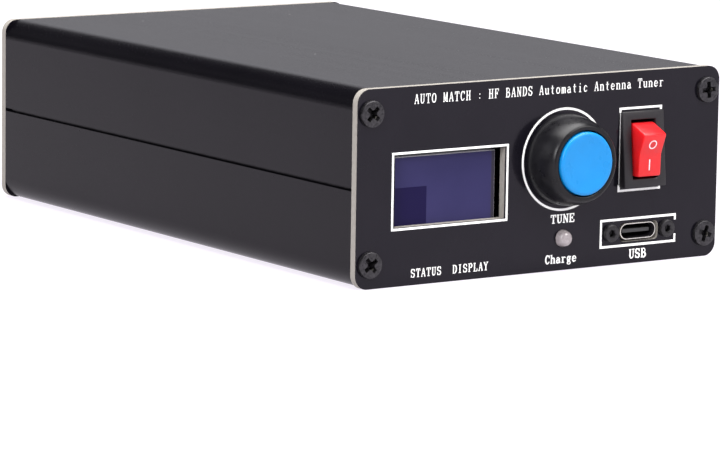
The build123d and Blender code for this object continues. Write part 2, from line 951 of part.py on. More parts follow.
display_header_y = -34.5
long_header_size = (10.2, 2.5, 8.0)
short_header_size = (5.1, 2.5, 8.0)
save(
    blocks(
        [
            standing(long_header_size, -22.0, display_header_y, board_top),
            standing(short_header_size, 33.0, 34.0, board_top),
            standing(short_header_size, 33.0, 42.0, board_top),
        ]
    ),
    "board_headers",
)

# --------------------------------------------------------------------------------------------
# Battery cell on an adhesive pad under the roof of the case
# --------------------------------------------------------------------------------------------

roof = case_height - wall
pad_size = (44.0, 28.0, 0.6)
pad_bottom = roof - pad_size[2]
cell_size = (50.0, 34.0, 9.0)
cell_corner = 3.0
cell_middle = -8.0
cell_height = pad_bottom - cell_size[2] / 2

save(blocks([standing(pad_size, 0, cell_middle, pad_bottom)]), "battery_pad")
with BuildPart() as battery_cell:
    with Locations((0, cell_middle, cell_height)):
        Box(*cell_size)
    fillet(battery_cell.edges().filter_by(Axis.Y), cell_corner)
save(battery_cell.part, "battery_cell")

# --------------------------------------------------------------------------------------------
# Radio sockets on the rear panel
# --------------------------------------------------------------------------------------------

flange_back = rear_face + socket_flange_thickness
thread_end = flange_back + socket_thread_length
socket_bore_radius = 6.1
socket_recess = 9.0
contact_outer = 2.9
contact_bore = 2.0
contact_end = thread_end - 1.0
contact_bore_depth = 9.0
contact_tail_radius = 1.6
contact_tail_end = 57.0
insulator_back_y = thread_end - socket_recess

for name, x in (("transceiver_socket", -socket_x), ("antenna_socket", socket_x)):
    with BuildPart() as socket_body:
        with BuildSketch(facing(rear_face)):
            with Locations((x, socket_z)):
                RectangleRounded(socket_flange, socket_flange, 2.0)
                Circle(socket_bore_radius, mode=Mode.SUBTRACT)
            with Locations(*[spot for spot in socket_screw_spots if spot[0] * x > 0]):
                Circle(socket_screw_clearance, mode=Mode.SUBTRACT)
        extrude(amount=-socket_flange_thickness)
        with BuildSketch(facing(flange_back)):
            with Locations((x, socket_z)):
                Circle(socket_thread_radius)
                Circle(socket_bore_radius, mode=Mode.SUBTRACT)
        extrude(amount=-socket_thread_length)
    save(socket_body.part, f"{name}_body")
    save(
        turned(
            [
                (contact_tail_radius, shell_back - 4.0),
                (socket_bore_radius - 0.1, shell_back - 4.0),
                (socket_bore_radius - 0.1, rear_face),
                (socket_bore_radius, rear_face),
                (socket_bore_radius, insulator_back_y),
                (contact_outer, insulator_back_y),
                (contact_outer, rear_face + 1.5),
                (contact_tail_radius, rear_face + 1.5),
            ],
            x,
            socket_z,
        ),
        f"{name}_insulator",
    )
    save(
        turned(
            [
                (0, contact_tail_end),
                (contact_tail_radius, contact_tail_end),
                (contact_tail_radius, rear_face + 1.5),
                (contact_outer, rear_face + 1.5),
                (contact_outer, contact_end),
                (contact_bore, contact_end),
                (contact_bore, contact_end - contact_bore_depth),
                (0, contact_end - contact_bore_depth),
            ],
            x,
            socket_z,
        ),
        f"{name}_contact",
    )

socket_screw = screw(2.75, 1.8, 1.45, 8.0)
save(placed(socket_screw, socket_screw_spots, flange_back, 1, (20, 50, 75)), "socket_screws")

with BuildPart() as socket_nuts:
    with BuildSketch(facing(shell_back)):
        with Locations(*socket_screw_spots):
            RegularPolygon(2.75, 6, major_radius=False)
            Circle(1.5, mode=Mode.SUBTRACT)
    extrude(amount=2.4)
save(socket_nuts.part, "socket_nuts")

# --------------------------------------------------------------------------------------------
# Wiring: radio links, display, push button, power switch, battery and supply wires
# --------------------------------------------------------------------------------------------

wire_radius = 0.5
front_landing = main_board_middle - main_board_length / 2 + 0.8
display_header_top = board_top + long_header_size[2]
plug_top = charger_top + charge_plug_size[2]
cell_front = cell_middle - cell_size[1] / 2
radio_link_radius = 0.7
radio_link_landing = 54.5

radio_link_routes = [
    [
        (side * socket_x, contact_tail_end, socket_z),
        (side * socket_x, radio_link_landing, socket_z),
        (side * socket_x, radio_link_landing, board_top),
    ]
    for side in (-1, 1)
]
save(wires(radio_link_routes, radio_link_radius, 1.5), "radio_links")

display_routes = [
    [
        (pin, display_board_back + header_depth, header_z),
        (pin, display_header_y, header_z),
        (pin, display_header_y, display_header_top),
    ]
    for pin in header_pins
]
save(wires(display_routes, wire_radius, 3.0), "display_wires")

tune_routes = [
    [
        (tune_x + side * tune_terminal_offset, tune_terminal_end, tune_z),
        (tune_x + side * tune_terminal_offset, front_landing, tune_z),
        (tune_x + side * tune_terminal_offset, front_landing, board_top),
    ]
    for side in (-1, 1)
]
save(wires(tune_routes, wire_radius, 2.0), "tune_wires")

switch_routes = [
    [
        (switch_x, switch_terminal_end, height),
        (switch_x, landing, height),
        (switch_x, landing, charger_top),
    ]
    for height, landing in ((switch_z, -44.0), (fixed_contact_z, -41.5))
]
battery_landing = -40.0
battery_routes = [
    [(x, cell_front, cell_height), (x, battery_landing, cell_height), (x, battery_landing, plug_top)]
    for x in (14.0, 16.5)
]
supply_height = plug_top + 5.0
supply_routes = [
    [
        (x, charge_plug_y, plug_top),
        (x, charge_plug_y, supply_height),
        (x, front_landing, supply_height),
        (x, front_landing, board_top),
    ]
    for x in (4.0, 6.5)
]
save(wires(switch_routes + battery_routes + supply_routes, wire_radius, 1.5), "power_wires")
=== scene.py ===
"""Looks of the antenna tuner: camera, studio, procedural materials and detailed pieces.

Metres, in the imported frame: +X right, +Y from the front panel to the rear, +Z up.
"""

import json
import math

import bmesh
import bpy
from mathutils import Matrix, Vector


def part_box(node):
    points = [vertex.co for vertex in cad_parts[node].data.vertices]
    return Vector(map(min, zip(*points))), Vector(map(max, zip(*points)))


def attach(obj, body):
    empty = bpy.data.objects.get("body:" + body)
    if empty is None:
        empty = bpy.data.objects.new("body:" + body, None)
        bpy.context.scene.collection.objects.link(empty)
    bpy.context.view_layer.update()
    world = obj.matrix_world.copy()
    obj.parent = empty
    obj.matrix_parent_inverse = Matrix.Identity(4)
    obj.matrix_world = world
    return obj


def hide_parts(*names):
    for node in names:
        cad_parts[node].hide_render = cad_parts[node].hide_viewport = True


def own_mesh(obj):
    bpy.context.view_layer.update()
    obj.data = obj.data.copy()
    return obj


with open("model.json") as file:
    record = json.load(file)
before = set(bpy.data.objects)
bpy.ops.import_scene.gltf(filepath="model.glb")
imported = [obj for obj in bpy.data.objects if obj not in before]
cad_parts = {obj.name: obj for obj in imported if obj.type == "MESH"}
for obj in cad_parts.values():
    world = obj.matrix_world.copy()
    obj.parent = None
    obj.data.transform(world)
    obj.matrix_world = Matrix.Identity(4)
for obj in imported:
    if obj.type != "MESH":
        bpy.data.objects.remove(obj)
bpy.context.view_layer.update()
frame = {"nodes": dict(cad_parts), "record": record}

scene = bpy.context.scene
nodes = frame["nodes"]

MM = 0.001
panel_low, panel_high = (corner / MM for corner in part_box("front_panel"))
front = panel_low.y
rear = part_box("rear_panel")[1].y / MM

# ---- Camera and light ----

camera_data = bpy.data.cameras.new("camera")
camera_data.sensor_width = 36.0
camera_data.lens = 212.33
camera_data.clip_end = 20.0
camera = bpy.data.objects.new("camera", camera_data)
scene.collection.objects.link(camera)
look = Vector((0.5557, 0.8161, -0.1586)).normalized()
right = Vector((0.8278, -0.5608, 0.0150))
right = (right - right.dot(look) * look).normalized()
up = right.cross(look)
turn = Matrix((right, up, -look)).transposed()
camera.matrix_world = Matrix.Translation((-0.4936, -0.7304, 0.1390)) @ turn.to_4x4()
scene.camera = camera
scene.view_settings.view_transform = "Standard"


def area_light(name, place, target, size, power, colour):
    """Soft rectangular light at a place, aimed at a target."""
    data = bpy.data.lights.new(name, "AREA")
    data.shape = "RECTANGLE"
    data.size, data.size_y = size
    data.energy = power
    data.color = colour
    lamp = bpy.data.objects.new(name, data)
    scene.collection.objects.link(lamp)
    lamp.location = place
    lamp.rotation_euler = (Vector(target) - Vector(place)).to_track_quat("-Z", "Y").to_euler()


area_light("overhead_softbox", (0.1, -0.1, 1.4), (0.1, -0.1, 0), (1.5, 1.2), 54, (1, 0.99, 0.98))
area_light("key_softbox", (0.75, -1.25, 0.95), (0, -0.05, 0.02), (0.8, 0.8), 19, (1, 0.99, 0.97))
area_light("left_fill", (-1.3, -0.7, 0.7), (0, 0, 0.02), (0.7, 0.7), 20, (0.98, 0.98, 1))

world = bpy.data.worlds.new("studio")
scene.world = world
world.use_nodes = True
sky = world.node_tree
sky.nodes.clear()
sky_out = sky.nodes.new("ShaderNodeOutputWorld")
sky_back = sky.nodes.new("ShaderNodeBackground")
sky_ramp = sky.nodes.new("ShaderNodeValToRGB")
sky_side = sky.nodes.new("ShaderNodeMapRange")
sky_part = sky.nodes.new("ShaderNodeSeparateXYZ")
sky_place = sky.nodes.new("ShaderNodeTexCoord")
sky.links.new(sky_place.outputs["Generated"], sky_part.inputs[0])
sky.links.new(sky_part.outputs["Z"], sky_ramp.inputs["Fac"])
sky.links.new(sky_ramp.outputs["Color"], sky_back.inputs["Color"])
sky.links.new(sky_part.outputs["X"], sky_side.inputs["Value"])
sky.links.new(sky_side.outputs["Result"], sky_back.inputs["Strength"])
sky.links.new(sky_back.outputs["Background"], sky_out.inputs["Surface"])

# The studio is darker towards -X than towards +X.
for key, number in (("From Min", -0.3), ("From Max", 0.15), ("To Min", 0.4), ("To Max", 2.0)):
    sky_side.inputs[key].default_value = number

# Brightness by height: a light wall up to a third, dark above it, light overhead.
sky_tones = [
    (0.0, 0.3), (0.1, 0.23), (0.2, 0.25), (0.3, 0.48), (0.36, 0.45), (0.42, 0.006), (0.74, 0.006),
    (1.0, 0.5),
]
ramp = sky_ramp.color_ramp
ramp.elements[0].position = sky_tones[0][0]
ramp.elements[1].position = sky_tones[-1][0]
for height, tone in sky_tones[1:-1]:
    ramp.elements.new(height)
for step, (height, tone) in zip(ramp.elements, sky_tones):
    step.color = (tone, tone * 0.99, tone * 1.05, 1)

# ---- Materials ----


class Paint:
    """A node material around one Principled shader, textured in the object's own metres."""

    def __init__(self, name, roughness=0.5, metallic=0.0, specular=0.5, coat=0.0):
        self.material = bpy.data.materials.new(name)
        self.material.use_nodes = True
        self.tree = self.material.node_tree
        self.shader = self.tree.nodes["Principled BSDF"]
        self.shader.inputs["Roughness"].default_value = roughness
        self.shader.inputs["Metallic"].default_value = metallic
        self.shader.inputs["Specular IOR Level"].default_value = specular
        self.shader.inputs["Coat Weight"].default_value = coat
        self.place = self.node("ShaderNodeTexCoord").outputs["Object"]

    def node(self, kind, **settings):
        made = self.tree.nodes.new(kind)
        for key, value in settings.items():
            setattr(made, key, value)
        return made

    def link(self, start, end):
        self.tree.links.new(start, end)

    def noise(self, grain, detail=3.0, stretch=(1, 1, 1), roughness=0.55):
        """Noise of that grain size in metres, drawn out along an axis by a stretch above one."""
        mapping = self.node("ShaderNodeMapping")
        mapping.inputs["Scale"].default_value = [1 / s for s in stretch]
        noise = self.node("ShaderNodeTexNoise")
        noise.inputs["Scale"].default_value = 1 / grain
        noise.inputs["Detail"].default_value = detail
        noise.inputs["Roughness"].default_value = roughness
        self.link(self.place, mapping.inputs["Vector"])
        self.link(mapping.outputs["Vector"], noise.inputs["Vector"])
        return noise.outputs["Fac"]

    def ramp(self, value, stops):
        """Colour ramp on a value; stops are (position, colour)."""
        made = self.node("ShaderNodeValToRGB")
        elements = made.color_ramp.elements
        elements[0].position, elements[0].color = stops[0][0], (*stops[0][1], 1)
        elements[1].position, elements[1].color = stops[-1][0], (*stops[-1][1], 1)
        for position, colour in stops[1:-1]:
            elements.new(position).color = (*colour, 1)
        self.link(value, made.inputs["Fac"])
        return made.outputs["Color"]

    def span(self, value, low, high, start=0.3, end=0.7):
        """Value mapped from start..end onto low..high."""
        made = self.node("ShaderNodeMapRange")
        for key, number in (("From Min", start), ("From Max", end), ("To Min", low), ("To Max", high)):
            made.inputs[key].default_value = number
        self.link(value, made.inputs["Value"])
        return made.outputs["Result"]

    def math(self, operation, first, second=None):
        """Math node on sockets or numbers."""
        made = self.node("ShaderNodeMath", operation=operation)
        for index, value in enumerate((first, second)):
            if value is None:
                continue
            if isinstance(value, (int, float)):
                made.inputs[index].default_value = value
            else:
                self.link(value, made.inputs[index])
        return made.outputs[0]

    def mix(self, factor, first, second):
        """Colour mix; the colours are sockets or tuples."""
        made = self.node("ShaderNodeMix", data_type="RGBA")
        self.link(factor, made.inputs[0])
        for index, value in ((6, first), (7, second)):
            if isinstance(value, tuple):
                made.inputs[index].default_value = (*value, 1)
            else:
                self.link(value, made.inputs[index])
        return made.outputs[2]

    def set(self, socket, value):
        self.link(value, self.shader.inputs[socket])

    def bump(self, height, depth):
        """Bump whose full height is depth metres."""
        made = self.node("ShaderNodeBump")
        made.inputs["Strength"].default_value = 1.0
        made.inputs["Distance"].default_value = depth
        self.link(height, made.inputs["Height"])
        self.link(made.outputs["Normal"], self.shader.inputs["Normal"])


def plain(name, dark, light, grain, rough, depth=0.0, stretch=(1, 1, 1), **shader):
    """Moulded or metal surface: colour and roughness wander with one noise, bump with a finer one."""
    paint = Paint(name, **shader)
    drift = paint.noise(grain, stretch=stretch)
    paint.set("Base Color", paint.ramp(drift, [(0.3, dark), (0.7, light)]))
    paint.set("Roughness", paint.span(drift, *rough))
    if depth:
        paint.bump(paint.noise(grain / 3, stretch=stretch), depth)
    return paint.material


def specks(paint, spacing, size):
    """Mask of sparse dust specks: small spots in a few cells of a regular division of space."""
    cells = paint.node("ShaderNodeTexVoronoi")
    cells.inputs["Scale"].default_value = 1 / spacing
    paint.link(paint.place, cells.inputs["Vector"])
    spot = paint.math("LESS_THAN", cells.outputs["Distance"], size / spacing)
    picked = paint.node("ShaderNodeSeparateColor")
    paint.link(cells.outputs["Color"], picked.inputs[0])
    rare = paint.math("GREATER_THAN", picked.outputs[0], 0.8)
    return paint.math("MULTIPLY", spot, rare)


def anodised():
    """Black anodised extrusion: fine blasted grain, faint die lines along its length, dust."""
    paint = Paint("black_anodised", roughness=0.4, specular=0.14)
    paint.shader.inputs["Specular Tint"].default_value = (0.95, 0.84, 1, 1)
    drift = paint.noise(0.03)
    grain = paint.noise(0.00035, detail=2.0)
    lines = paint.noise(0.0022, detail=3.0, stretch=(1, 120, 1))
    base = paint.ramp(drift, [(0.3, (0.0018, 0.0016, 0.0025)), (0.7, (0.003, 0.0027, 0.004))])
    paint.set("Base Color", paint.mix(specks(paint, 0.009, 0.00016), base, (0.35, 0.35, 0.35)))
    mixed = paint.math("ADD", paint.math("MULTIPLY", lines, 0.35), paint.math("MULTIPLY", grain, 0.65))
    paint.set("Roughness", paint.span(mixed, 0.23, 0.28))
    paint.bump(paint.math("ADD", grain, paint.math("MULTIPLY", lines, 0.12)), 0.000015)
    return paint.material


def masked_board(name, mask_dark, mask_light, edge_dark, edge_light):
    """Circuit-board panel: solder mask on its two faces, bare glass fibre on every cut edge."""
    paint = Paint(name, specular=0.2)
    paint.shader.inputs["Specular Tint"].default_value = (0.95, 0.9, 1, 1)
    shape = paint.node("ShaderNodeNewGeometry")
    parts = paint.node("ShaderNodeSeparateXYZ")
    paint.link(shape.outputs["Normal"], parts.inputs[0])
    face = paint.math("GREATER_THAN", paint.math("ABSOLUTE", parts.outputs["Y"]), 0.7)
    drift = paint.noise(0.02)
    peel = paint.noise(0.0007, detail=2.0)
    fibres = paint.noise(0.00012, detail=3.0, stretch=(8, 1, 8))
    mask = paint.ramp(drift, [(0.3, mask_dark), (0.7, mask_light)])
    mask = paint.mix(specks(paint, 0.007, 0.00012), mask, (0.3, 0.3, 0.3))
    bare = paint.ramp(fibres, [(0.25, edge_dark), (0.75, edge_light)])
    paint.set("Base Color", paint.mix(face, bare, mask))
    smooth = paint.span(peel, 0.1, 0.14)
    rough = paint.math("MULTIPLY", paint.math("SUBTRACT", 1.0, face), 0.45)
    paint.set("Roughness", paint.math("ADD", smooth, rough))
    paint.bump(paint.math("ADD", paint.math("MULTIPLY", peel, 0.4), fibres), 0.000006)
    return paint.material


def display_window():
    """Display glass: violet tint, darker in a rectangle at its lower left corner."""
    paint = Paint("display_violet", roughness=0.12, specular=0.1)
    parts = paint.node("ShaderNodeSeparateXYZ")
    paint.link(paint.place, parts.inputs[0])
    low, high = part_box("display_glass")
    # The clear mask covers a rectangle at the lower left corner, which is painted darker than the rest
    # of the glass.
    darker_corner_width, darker_corner_height, border_width = 10.5 * MM, 13.2 * MM, 0.85 * MM
    corner_x = paint.math("LESS_THAN", parts.outputs["X"], low.x + darker_corner_width)
    corner_z = paint.math("LESS_THAN", parts.outputs["Z"], low.z + darker_corner_height)
    clear = paint.math("MULTIPLY", corner_x, corner_z)
    border = paint.math("GREATER_THAN", parts.outputs["X"], high.x - border_width)
    drift = paint.noise(0.012, detail=4.0)
    main_tint = paint.ramp(drift, [(0.25, (0.022, 0.020, 0.072)), (0.75, (0.029, 0.026, 0.088))])
    tint = paint.mix(clear, main_tint, (0.006, 0.0035, 0.036))
    tint = paint.mix(border, tint, (0.025, 0.022, 0.035))
    paint.set("Base Color", paint.mix(specks(paint, 0.005, 0.00015), tint, (0.12, 0.11, 0.2)))
    paint.set("Roughness", paint.span(drift, 0.1, 0.2))
    return paint.material


white_print = plain("white_print", (0.86, 0.86, 0.84), (0.95, 0.95, 0.93), 0.0006, (0.45, 0.6), 0.000002)
red_print = plain("rocker_print", (0.8, 0.62, 0.66), (0.9, 0.75, 0.78), 0.0006, (0.4, 0.5))
cap_blue = plain(
    "cap_blue", (0.0035, 0.2, 0.52), (0.005, 0.222, 0.57), 0.004, (0.26, 0.32), 0.000002, specular=0.3
)
bezel_black = plain(
    "bezel_black", (0.005, 0.0048, 0.006), (0.008, 0.0077, 0.0095), 0.0015, (0.26, 0.34), 0.000003,
    specular=0.22,
)
switch_black = plain(
    "switch_black", (0.007, 0.006, 0.008), (0.013, 0.011, 0.014), 0.0004, (0.4, 0.5), 0.00001,
    specular=0.36,
)
rocker_red = plain(
    "rocker_red", (0.6, 0.01, 0.014), (0.64, 0.013, 0.018), 0.012, (0.28, 0.32), specular=0.4
)
rocker_shader = rocker_red.node_tree.nodes["Principled BSDF"]
rocker_shader.inputs["Subsurface Weight"].default_value = 0.7
rocker_shader.inputs["Subsurface Radius"].default_value = (1.0, 0.15, 0.1)
rocker_shader.inputs["Subsurface Scale"].default_value = 0.003
screw_black = plain(
    "screw_black", (0.024, 0.023, 0.026), (0.058, 0.055, 0.06), 0.0005, (0.24, 0.38), 0.000008,
    metallic=0.8,
)
socket_black = plain(
    "socket_screw_black", (0.016, 0.015, 0.017), (0.036, 0.034, 0.037), 0.0005, (0.26, 0.4), 0.000006,
    metallic=0.6,
)
tongue_grey = plain("tongue_grey", (0.022, 0.022, 0.024), (0.038, 0.038, 0.04), 0.001, (0.4, 0.5))
plated = plain(
    "plated_steel", (0.62, 0.6, 0.56), (0.74, 0.72, 0.68), 0.0006, (0.2, 0.34), 0.000003, metallic=1.0
)
nickel = plain(
    "socket_nickel", (0.66, 0.64, 0.58), (0.76, 0.74, 0.69), 0.003, (0.16, 0.28), 0.000003,
    metallic=1.0,
)
shell_black = anodised()
panel_black = masked_board(
    "panel_mask", (0.0045, 0.004, 0.0065), (0.0065, 0.0058, 0.0088), (0.23, 0.213, 0.19),
    (0.355, 0.333, 0.302),
)
board_green = masked_board(
    "board_dark", (0.01, 0.012, 0.014), (0.016, 0.018, 0.02), (0.35, 0.32, 0.24), (0.5, 0.46, 0.36)
)
display_violet = display_window()
ground_edge = plain("ground_glass_edge", (0.4, 0.4, 0.44), (0.62, 0.62, 0.66), 0.0003, (0.4, 0.6))
lamp_milk = plain(
    "lamp_clear", (0.24, 0.21, 0.215), (0.38, 0.34, 0.35), 0.0009, (0.12, 0.2), specular=0.5, coat=0.3
)

by_slot = {
    "case_anodised": shell_black,
    "panel_mask": panel_black,
    "screw_black": screw_black,
    "bezel_black": bezel_black,
    "cap_blue": cap_blue,
    "switch_black": switch_black,
    "rocker_red": rocker_red,
    "spring_steel": plain(
        "spring_steel", (0.5, 0.5, 0.52), (0.66, 0.66, 0.68), 0.001, (0.22, 0.36), metallic=1.0
    ),
    "plated_steel": plated,
    "socket_nickel": nickel,
    "contact_brass": plain(
        "contact_brass", (0.62, 0.45, 0.18), (0.78, 0.6, 0.28), 0.002, (0.22, 0.36), 0.000003,
        metallic=1.0,
    ),
    "insulator_white": plain(
        "insulator_white", (0.78, 0.78, 0.75), (0.88, 0.88, 0.86), 0.002, (0.35, 0.5), 0.000004
    ),
    "insulator_brown": plain(
        "insulator_brown", (0.10, 0.045, 0.02), (0.18, 0.085, 0.04), 0.0008, (0.45, 0.6),
        stretch=(8, 1, 8),
    ),
    "display_violet": display_violet,
    "lamp_clear": lamp_milk,
    "board_dark": board_green,
    "chip_black": plain(
        "chip_black", (0.012, 0.012, 0.012), (0.025, 0.025, 0.026), 0.0005, (0.5, 0.65), 0.000006
    ),
    "relay_blue": plain(
        "relay_blue", (0.012, 0.07, 0.3), (0.02, 0.1, 0.38), 0.004, (0.28, 0.38), 0.000003
    ),
    "core_red": plain(
        "core_red", (0.42, 0.03, 0.02), (0.55, 0.05, 0.035), 0.001, (0.4, 0.55), 0.00001
    ),
    "core_grey": plain(
        "core_grey", (0.05, 0.05, 0.052), (0.09, 0.09, 0.092), 0.0008, (0.5, 0.65), 0.00001
    ),
    "winding_copper": plain(
        "winding_copper", (0.62, 0.2, 0.07), (0.78, 0.32, 0.13), 0.0015, (0.2, 0.32), metallic=1.0
    ),
    "tinned_wire": plain(
        "tinned_wire", (0.62, 0.62, 0.62), (0.74, 0.74, 0.74), 0.001, (0.25, 0.4), metallic=1.0
    ),
    "capacitor_tan": plain(
        "capacitor_tan", (0.45, 0.2, 0.05), (0.6, 0.3, 0.09), 0.002, (0.25, 0.4), 0.00002
    ),
    "can_sleeve": plain("can_sleeve", (0.008, 0.008, 0.03), (0.015, 0.015, 0.05), 0.003, (0.2, 0.3)),
    "cell_foil": plain(
        "cell_foil", (0.55, 0.55, 0.57), (0.7, 0.7, 0.72), 0.006, (0.3, 0.45), 0.00004, metallic=0.9
    ),
    "wire_red": plain("wire_red", (0.42, 0.015, 0.012), (0.55, 0.025, 0.02), 0.002, (0.35, 0.5)),
}

for entry in frame["record"]["subparts"]:
    owner = nodes[entry["node"]]
    owner.data.materials.clear()
    owner.data.materials.append(by_slot[entry["material_slot"]])
nodes["usb_tongue"].data.materials[0] = tongue_grey

# ---- Mesh tools ----


def piece(name, vertices, faces, material, body, sharp=32.0):
    """Mesh object from millimetre vertices, shaded smooth but for edges above a sharp angle."""
    shape = bmesh.new()
    made = [shape.verts.new([c * MM for c in v]) for v in vertices]
    for face in faces:
        if len({*face}) > 2:
            shape.faces.new([made[i] for i in face])
    bmesh.ops.remove_doubles(shape, verts=shape.verts, dist=1e-7)
    bmesh.ops.recalc_face_normals(shape, faces=shape.faces)
    mesh = bpy.data.meshes.new(name)
    shape.to_mesh(mesh)
    shape.free()
    mesh.shade_smooth()
    mesh.set_sharp_from_angle(angle=math.radians(sharp))
    mesh.materials.append(material)
    thing = bpy.data.objects.new(name, mesh)
    scene.collection.objects.link(thing)
    if body:
        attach(thing, body)
    return thing


def lofted(rings, round_trip=False, caps=(True, True)):
    """Vertices and faces of a skin over rings of equal length."""
    count = len(rings[0])
    vertices = [point for ring in rings for point in ring]
    faces = []
    steps = len(rings) if round_trip else len(rings) - 1
    for step in range(steps):
        near = step * count
        far = (step + 1) % len(rings) * count
        for index in range(count):
            after = (index + 1) % count
            faces.append((near + index, near + after, far + after, far + index))
    if not round_trip and caps[0]:
        faces.append(tuple(range(count)))
    if not round_trip and caps[1]:
        faces.append(tuple(range((len(rings) - 1) * count, len(rings) * count)))
    return vertices, faces


def full_turn(count):
    """Angles evenly round a circle."""
    return [2 * math.pi * index / count for index in range(count)]


def circle(x, z, radius, y, count=96):
    """Ring of points round a depth line."""
    return [(x + radius * math.cos(a), y, z + radius * math.sin(a)) for a in full_turn(count)]


def rounded_box(x, z, width, height, corner, y, count=8):
    """Ring of points along a rounded rectangle."""
    points = []
    for quadrant, (sx, sz) in enumerate(((1, 1), (-1, 1), (-1, -1), (1, -1))):
        for index in range(count + 1):
            angle = math.pi / 2 * (quadrant + index / count)
            points.append(
                (
                    x + sx * (width / 2 - corner) + corner * math.cos(angle),
                    y,
                    z + sz * (height / 2 - corner) + corner * math.sin(angle),
                )
            )
    return points


def turned(name, profile, x, z, material, body, closed=True, count=96, sharp=32.0):
    """Lathe piece round the depth line at (x, z), from (radius, depth) points."""
    rings = [circle(x, z, max(radius, 1e-6), depth, count) for radius, depth in profile]
    vertices, faces = lofted(rings, round_trip=closed)
    return piece(name, vertices, faces, material, body, sharp)


def carve(thing, cutter, sharp=32.0):
    """Cuts one object out of another and removes the cutter."""
    cut = thing.modifiers.new("cut", "BOOLEAN")
    cut.operation = "DIFFERENCE"
    cut.solver = "EXACT"
    cut.object = cutter
    bpy.context.view_layer.update()
    depsgraph = bpy.context.evaluated_depsgraph_get()
    mesh = bpy.data.meshes.new_from_object(thing.evaluated_get(depsgraph))
    thing.modifiers.clear()
    old = thing.data
    thing.data = mesh
    mesh.name = old.name
    bpy.data.meshes.remove(old)
    mesh.shade_smooth()
    mesh.set_sharp_from_angle(angle=math.radians(sharp))
    bpy.data.objects.remove(cutter)


def bevelled(thing, width, segments=3, angle=30):
    """Rounds every edge sharper than an angle."""
    shape = bmesh.new()
    shape.from_mesh(thing.data)
    edges = [e for e in shape.edges if e.is_manifold and e.calc_face_angle(0) > math.radians(angle)]
    bmesh.ops.bevel(
        shape, geom=edges, offset=width * MM, segments=segments, profile=0.5, affect="EDGES",
        clamp_overlap=True,
    )
    shape.to_mesh(thing.data)
    shape.free()
    thing.data.shade_smooth()
    thing.data.set_sharp_from_angle(angle=math.radians(40))


# ---- Push button ----

bezel_low, bezel_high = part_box("tune_bezel")
tune_x = (bezel_low.x + bezel_high.x) / 2 / MM
tune_z = (bezel_low.z + bezel_high.z) / 2 / MM

thread_start, thread_pitch, thread_count = front + 2.6, 0.85, 14
thread = []
for index in range(thread_count):
    crest = thread_start + index * thread_pitch
    thread += [(7.85, crest), (7.45, crest + 0.42)]

rim_y = bezel_low.y / MM
bezel_profile = (
    [(7.85, front + 0.02), (9.12, front + 0.02), (9.15, front - 0.1), (9.1, front - 0.7)]
    + [(9.02, front - 1.6), (8.92, front - 2.6), (8.76, front - 3.7), (8.54, front - 4.7)]
    + [(8.24, front - 5.6), (7.94, rim_y + 0.75), (7.72, rim_y + 0.4)]
    + [(7.55, rim_y + 0.16), (7.35, rim_y + 0.04), (7.1, rim_y), (6.82, rim_y + 0.01)]
    + [(6.64, rim_y + 0.08), (6.55, rim_y + 0.25)]
    + [(6.55, front + 6.5), (2.58, front + 6.5), (2.58, front + 9.0), (6.55, front + 9.0)]
    + [(6.55, front + 15.0), (7.7, front + 15.0)]
    + thread[::-1]
)
bezel = turned("tune_bezel_shell", bezel_profile, tune_x, tune_z, bezel_black, "case")
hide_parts("tune_bezel")

cap_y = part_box("tune_cap")[0].y / MM
cap_profile = [
    (0.0, cap_y + 0.28), (1.2, cap_y + 0.27), (2.4, cap_y + 0.23), (3.6, cap_y + 0.16),
    (4.7, cap_y + 0.08), (5.4, cap_y + 0.015), (5.75, cap_y), (6.0, cap_y + 0.05),
    (6.18, cap_y + 0.18), (6.27, cap_y + 0.4), (6.3, cap_y + 0.7), (6.3, cap_y + 6.5),
    (5.3, cap_y + 6.5), (5.3, cap_y + 2.2), (2.5, cap_y + 2.2), (2.5, front + 10.1),
    (0.0, front + 10.1),
]
cap = turned("tune_cap_face", cap_profile, tune_x, tune_z, cap_blue, "tune_button", False)
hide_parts("tune_cap")

spring_low, spring_high = (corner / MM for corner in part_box("tune_spring"))
spring_length = spring_high.y - spring_low.y
spring_wire = 0.35
spring_radius = (spring_high.x - spring_low.x) / 2 - spring_wire
spring_turns = 6
steps_round = 24
spring_steps = steps_round * spring_turns
spring_rings = []
for index in range(spring_steps + 1):
    a = 2 * math.pi * index / steps_round
    rise = index / spring_steps * (spring_length - 2 * spring_wire) + spring_wire
    ring = []
    for b in full_turn(8):
        reach = spring_radius + spring_wire * math.cos(b)
        y = spring_low.y + rise + spring_wire * math.sin(b)
        ring.append((tune_x + reach * math.cos(a), y, tune_z + reach * math.sin(a)))
    spring_rings.append(ring)
vertices, faces = lofted(spring_rings)
spring = piece(
    "tune_spring_coil", vertices, faces, by_slot["spring_steel"], "case", 60
)
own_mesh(spring)
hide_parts("tune_spring")

# ---- Screws ----


def star(half, arm, notch, depth):
    """Cross recess outline with chamfered inner corners."""
    quarter = [(half, -arm), (half, arm), (arm + notch, arm), (arm, arm + notch)]
    points = []
    for turn_index in range(4):
        a = math.pi / 2 * turn_index
        for px, pz in quarter:
            points.append(
                (px * math.cos(a) - pz * math.sin(a), depth, px * math.sin(a) + pz * math.cos(a))
            )
    return points


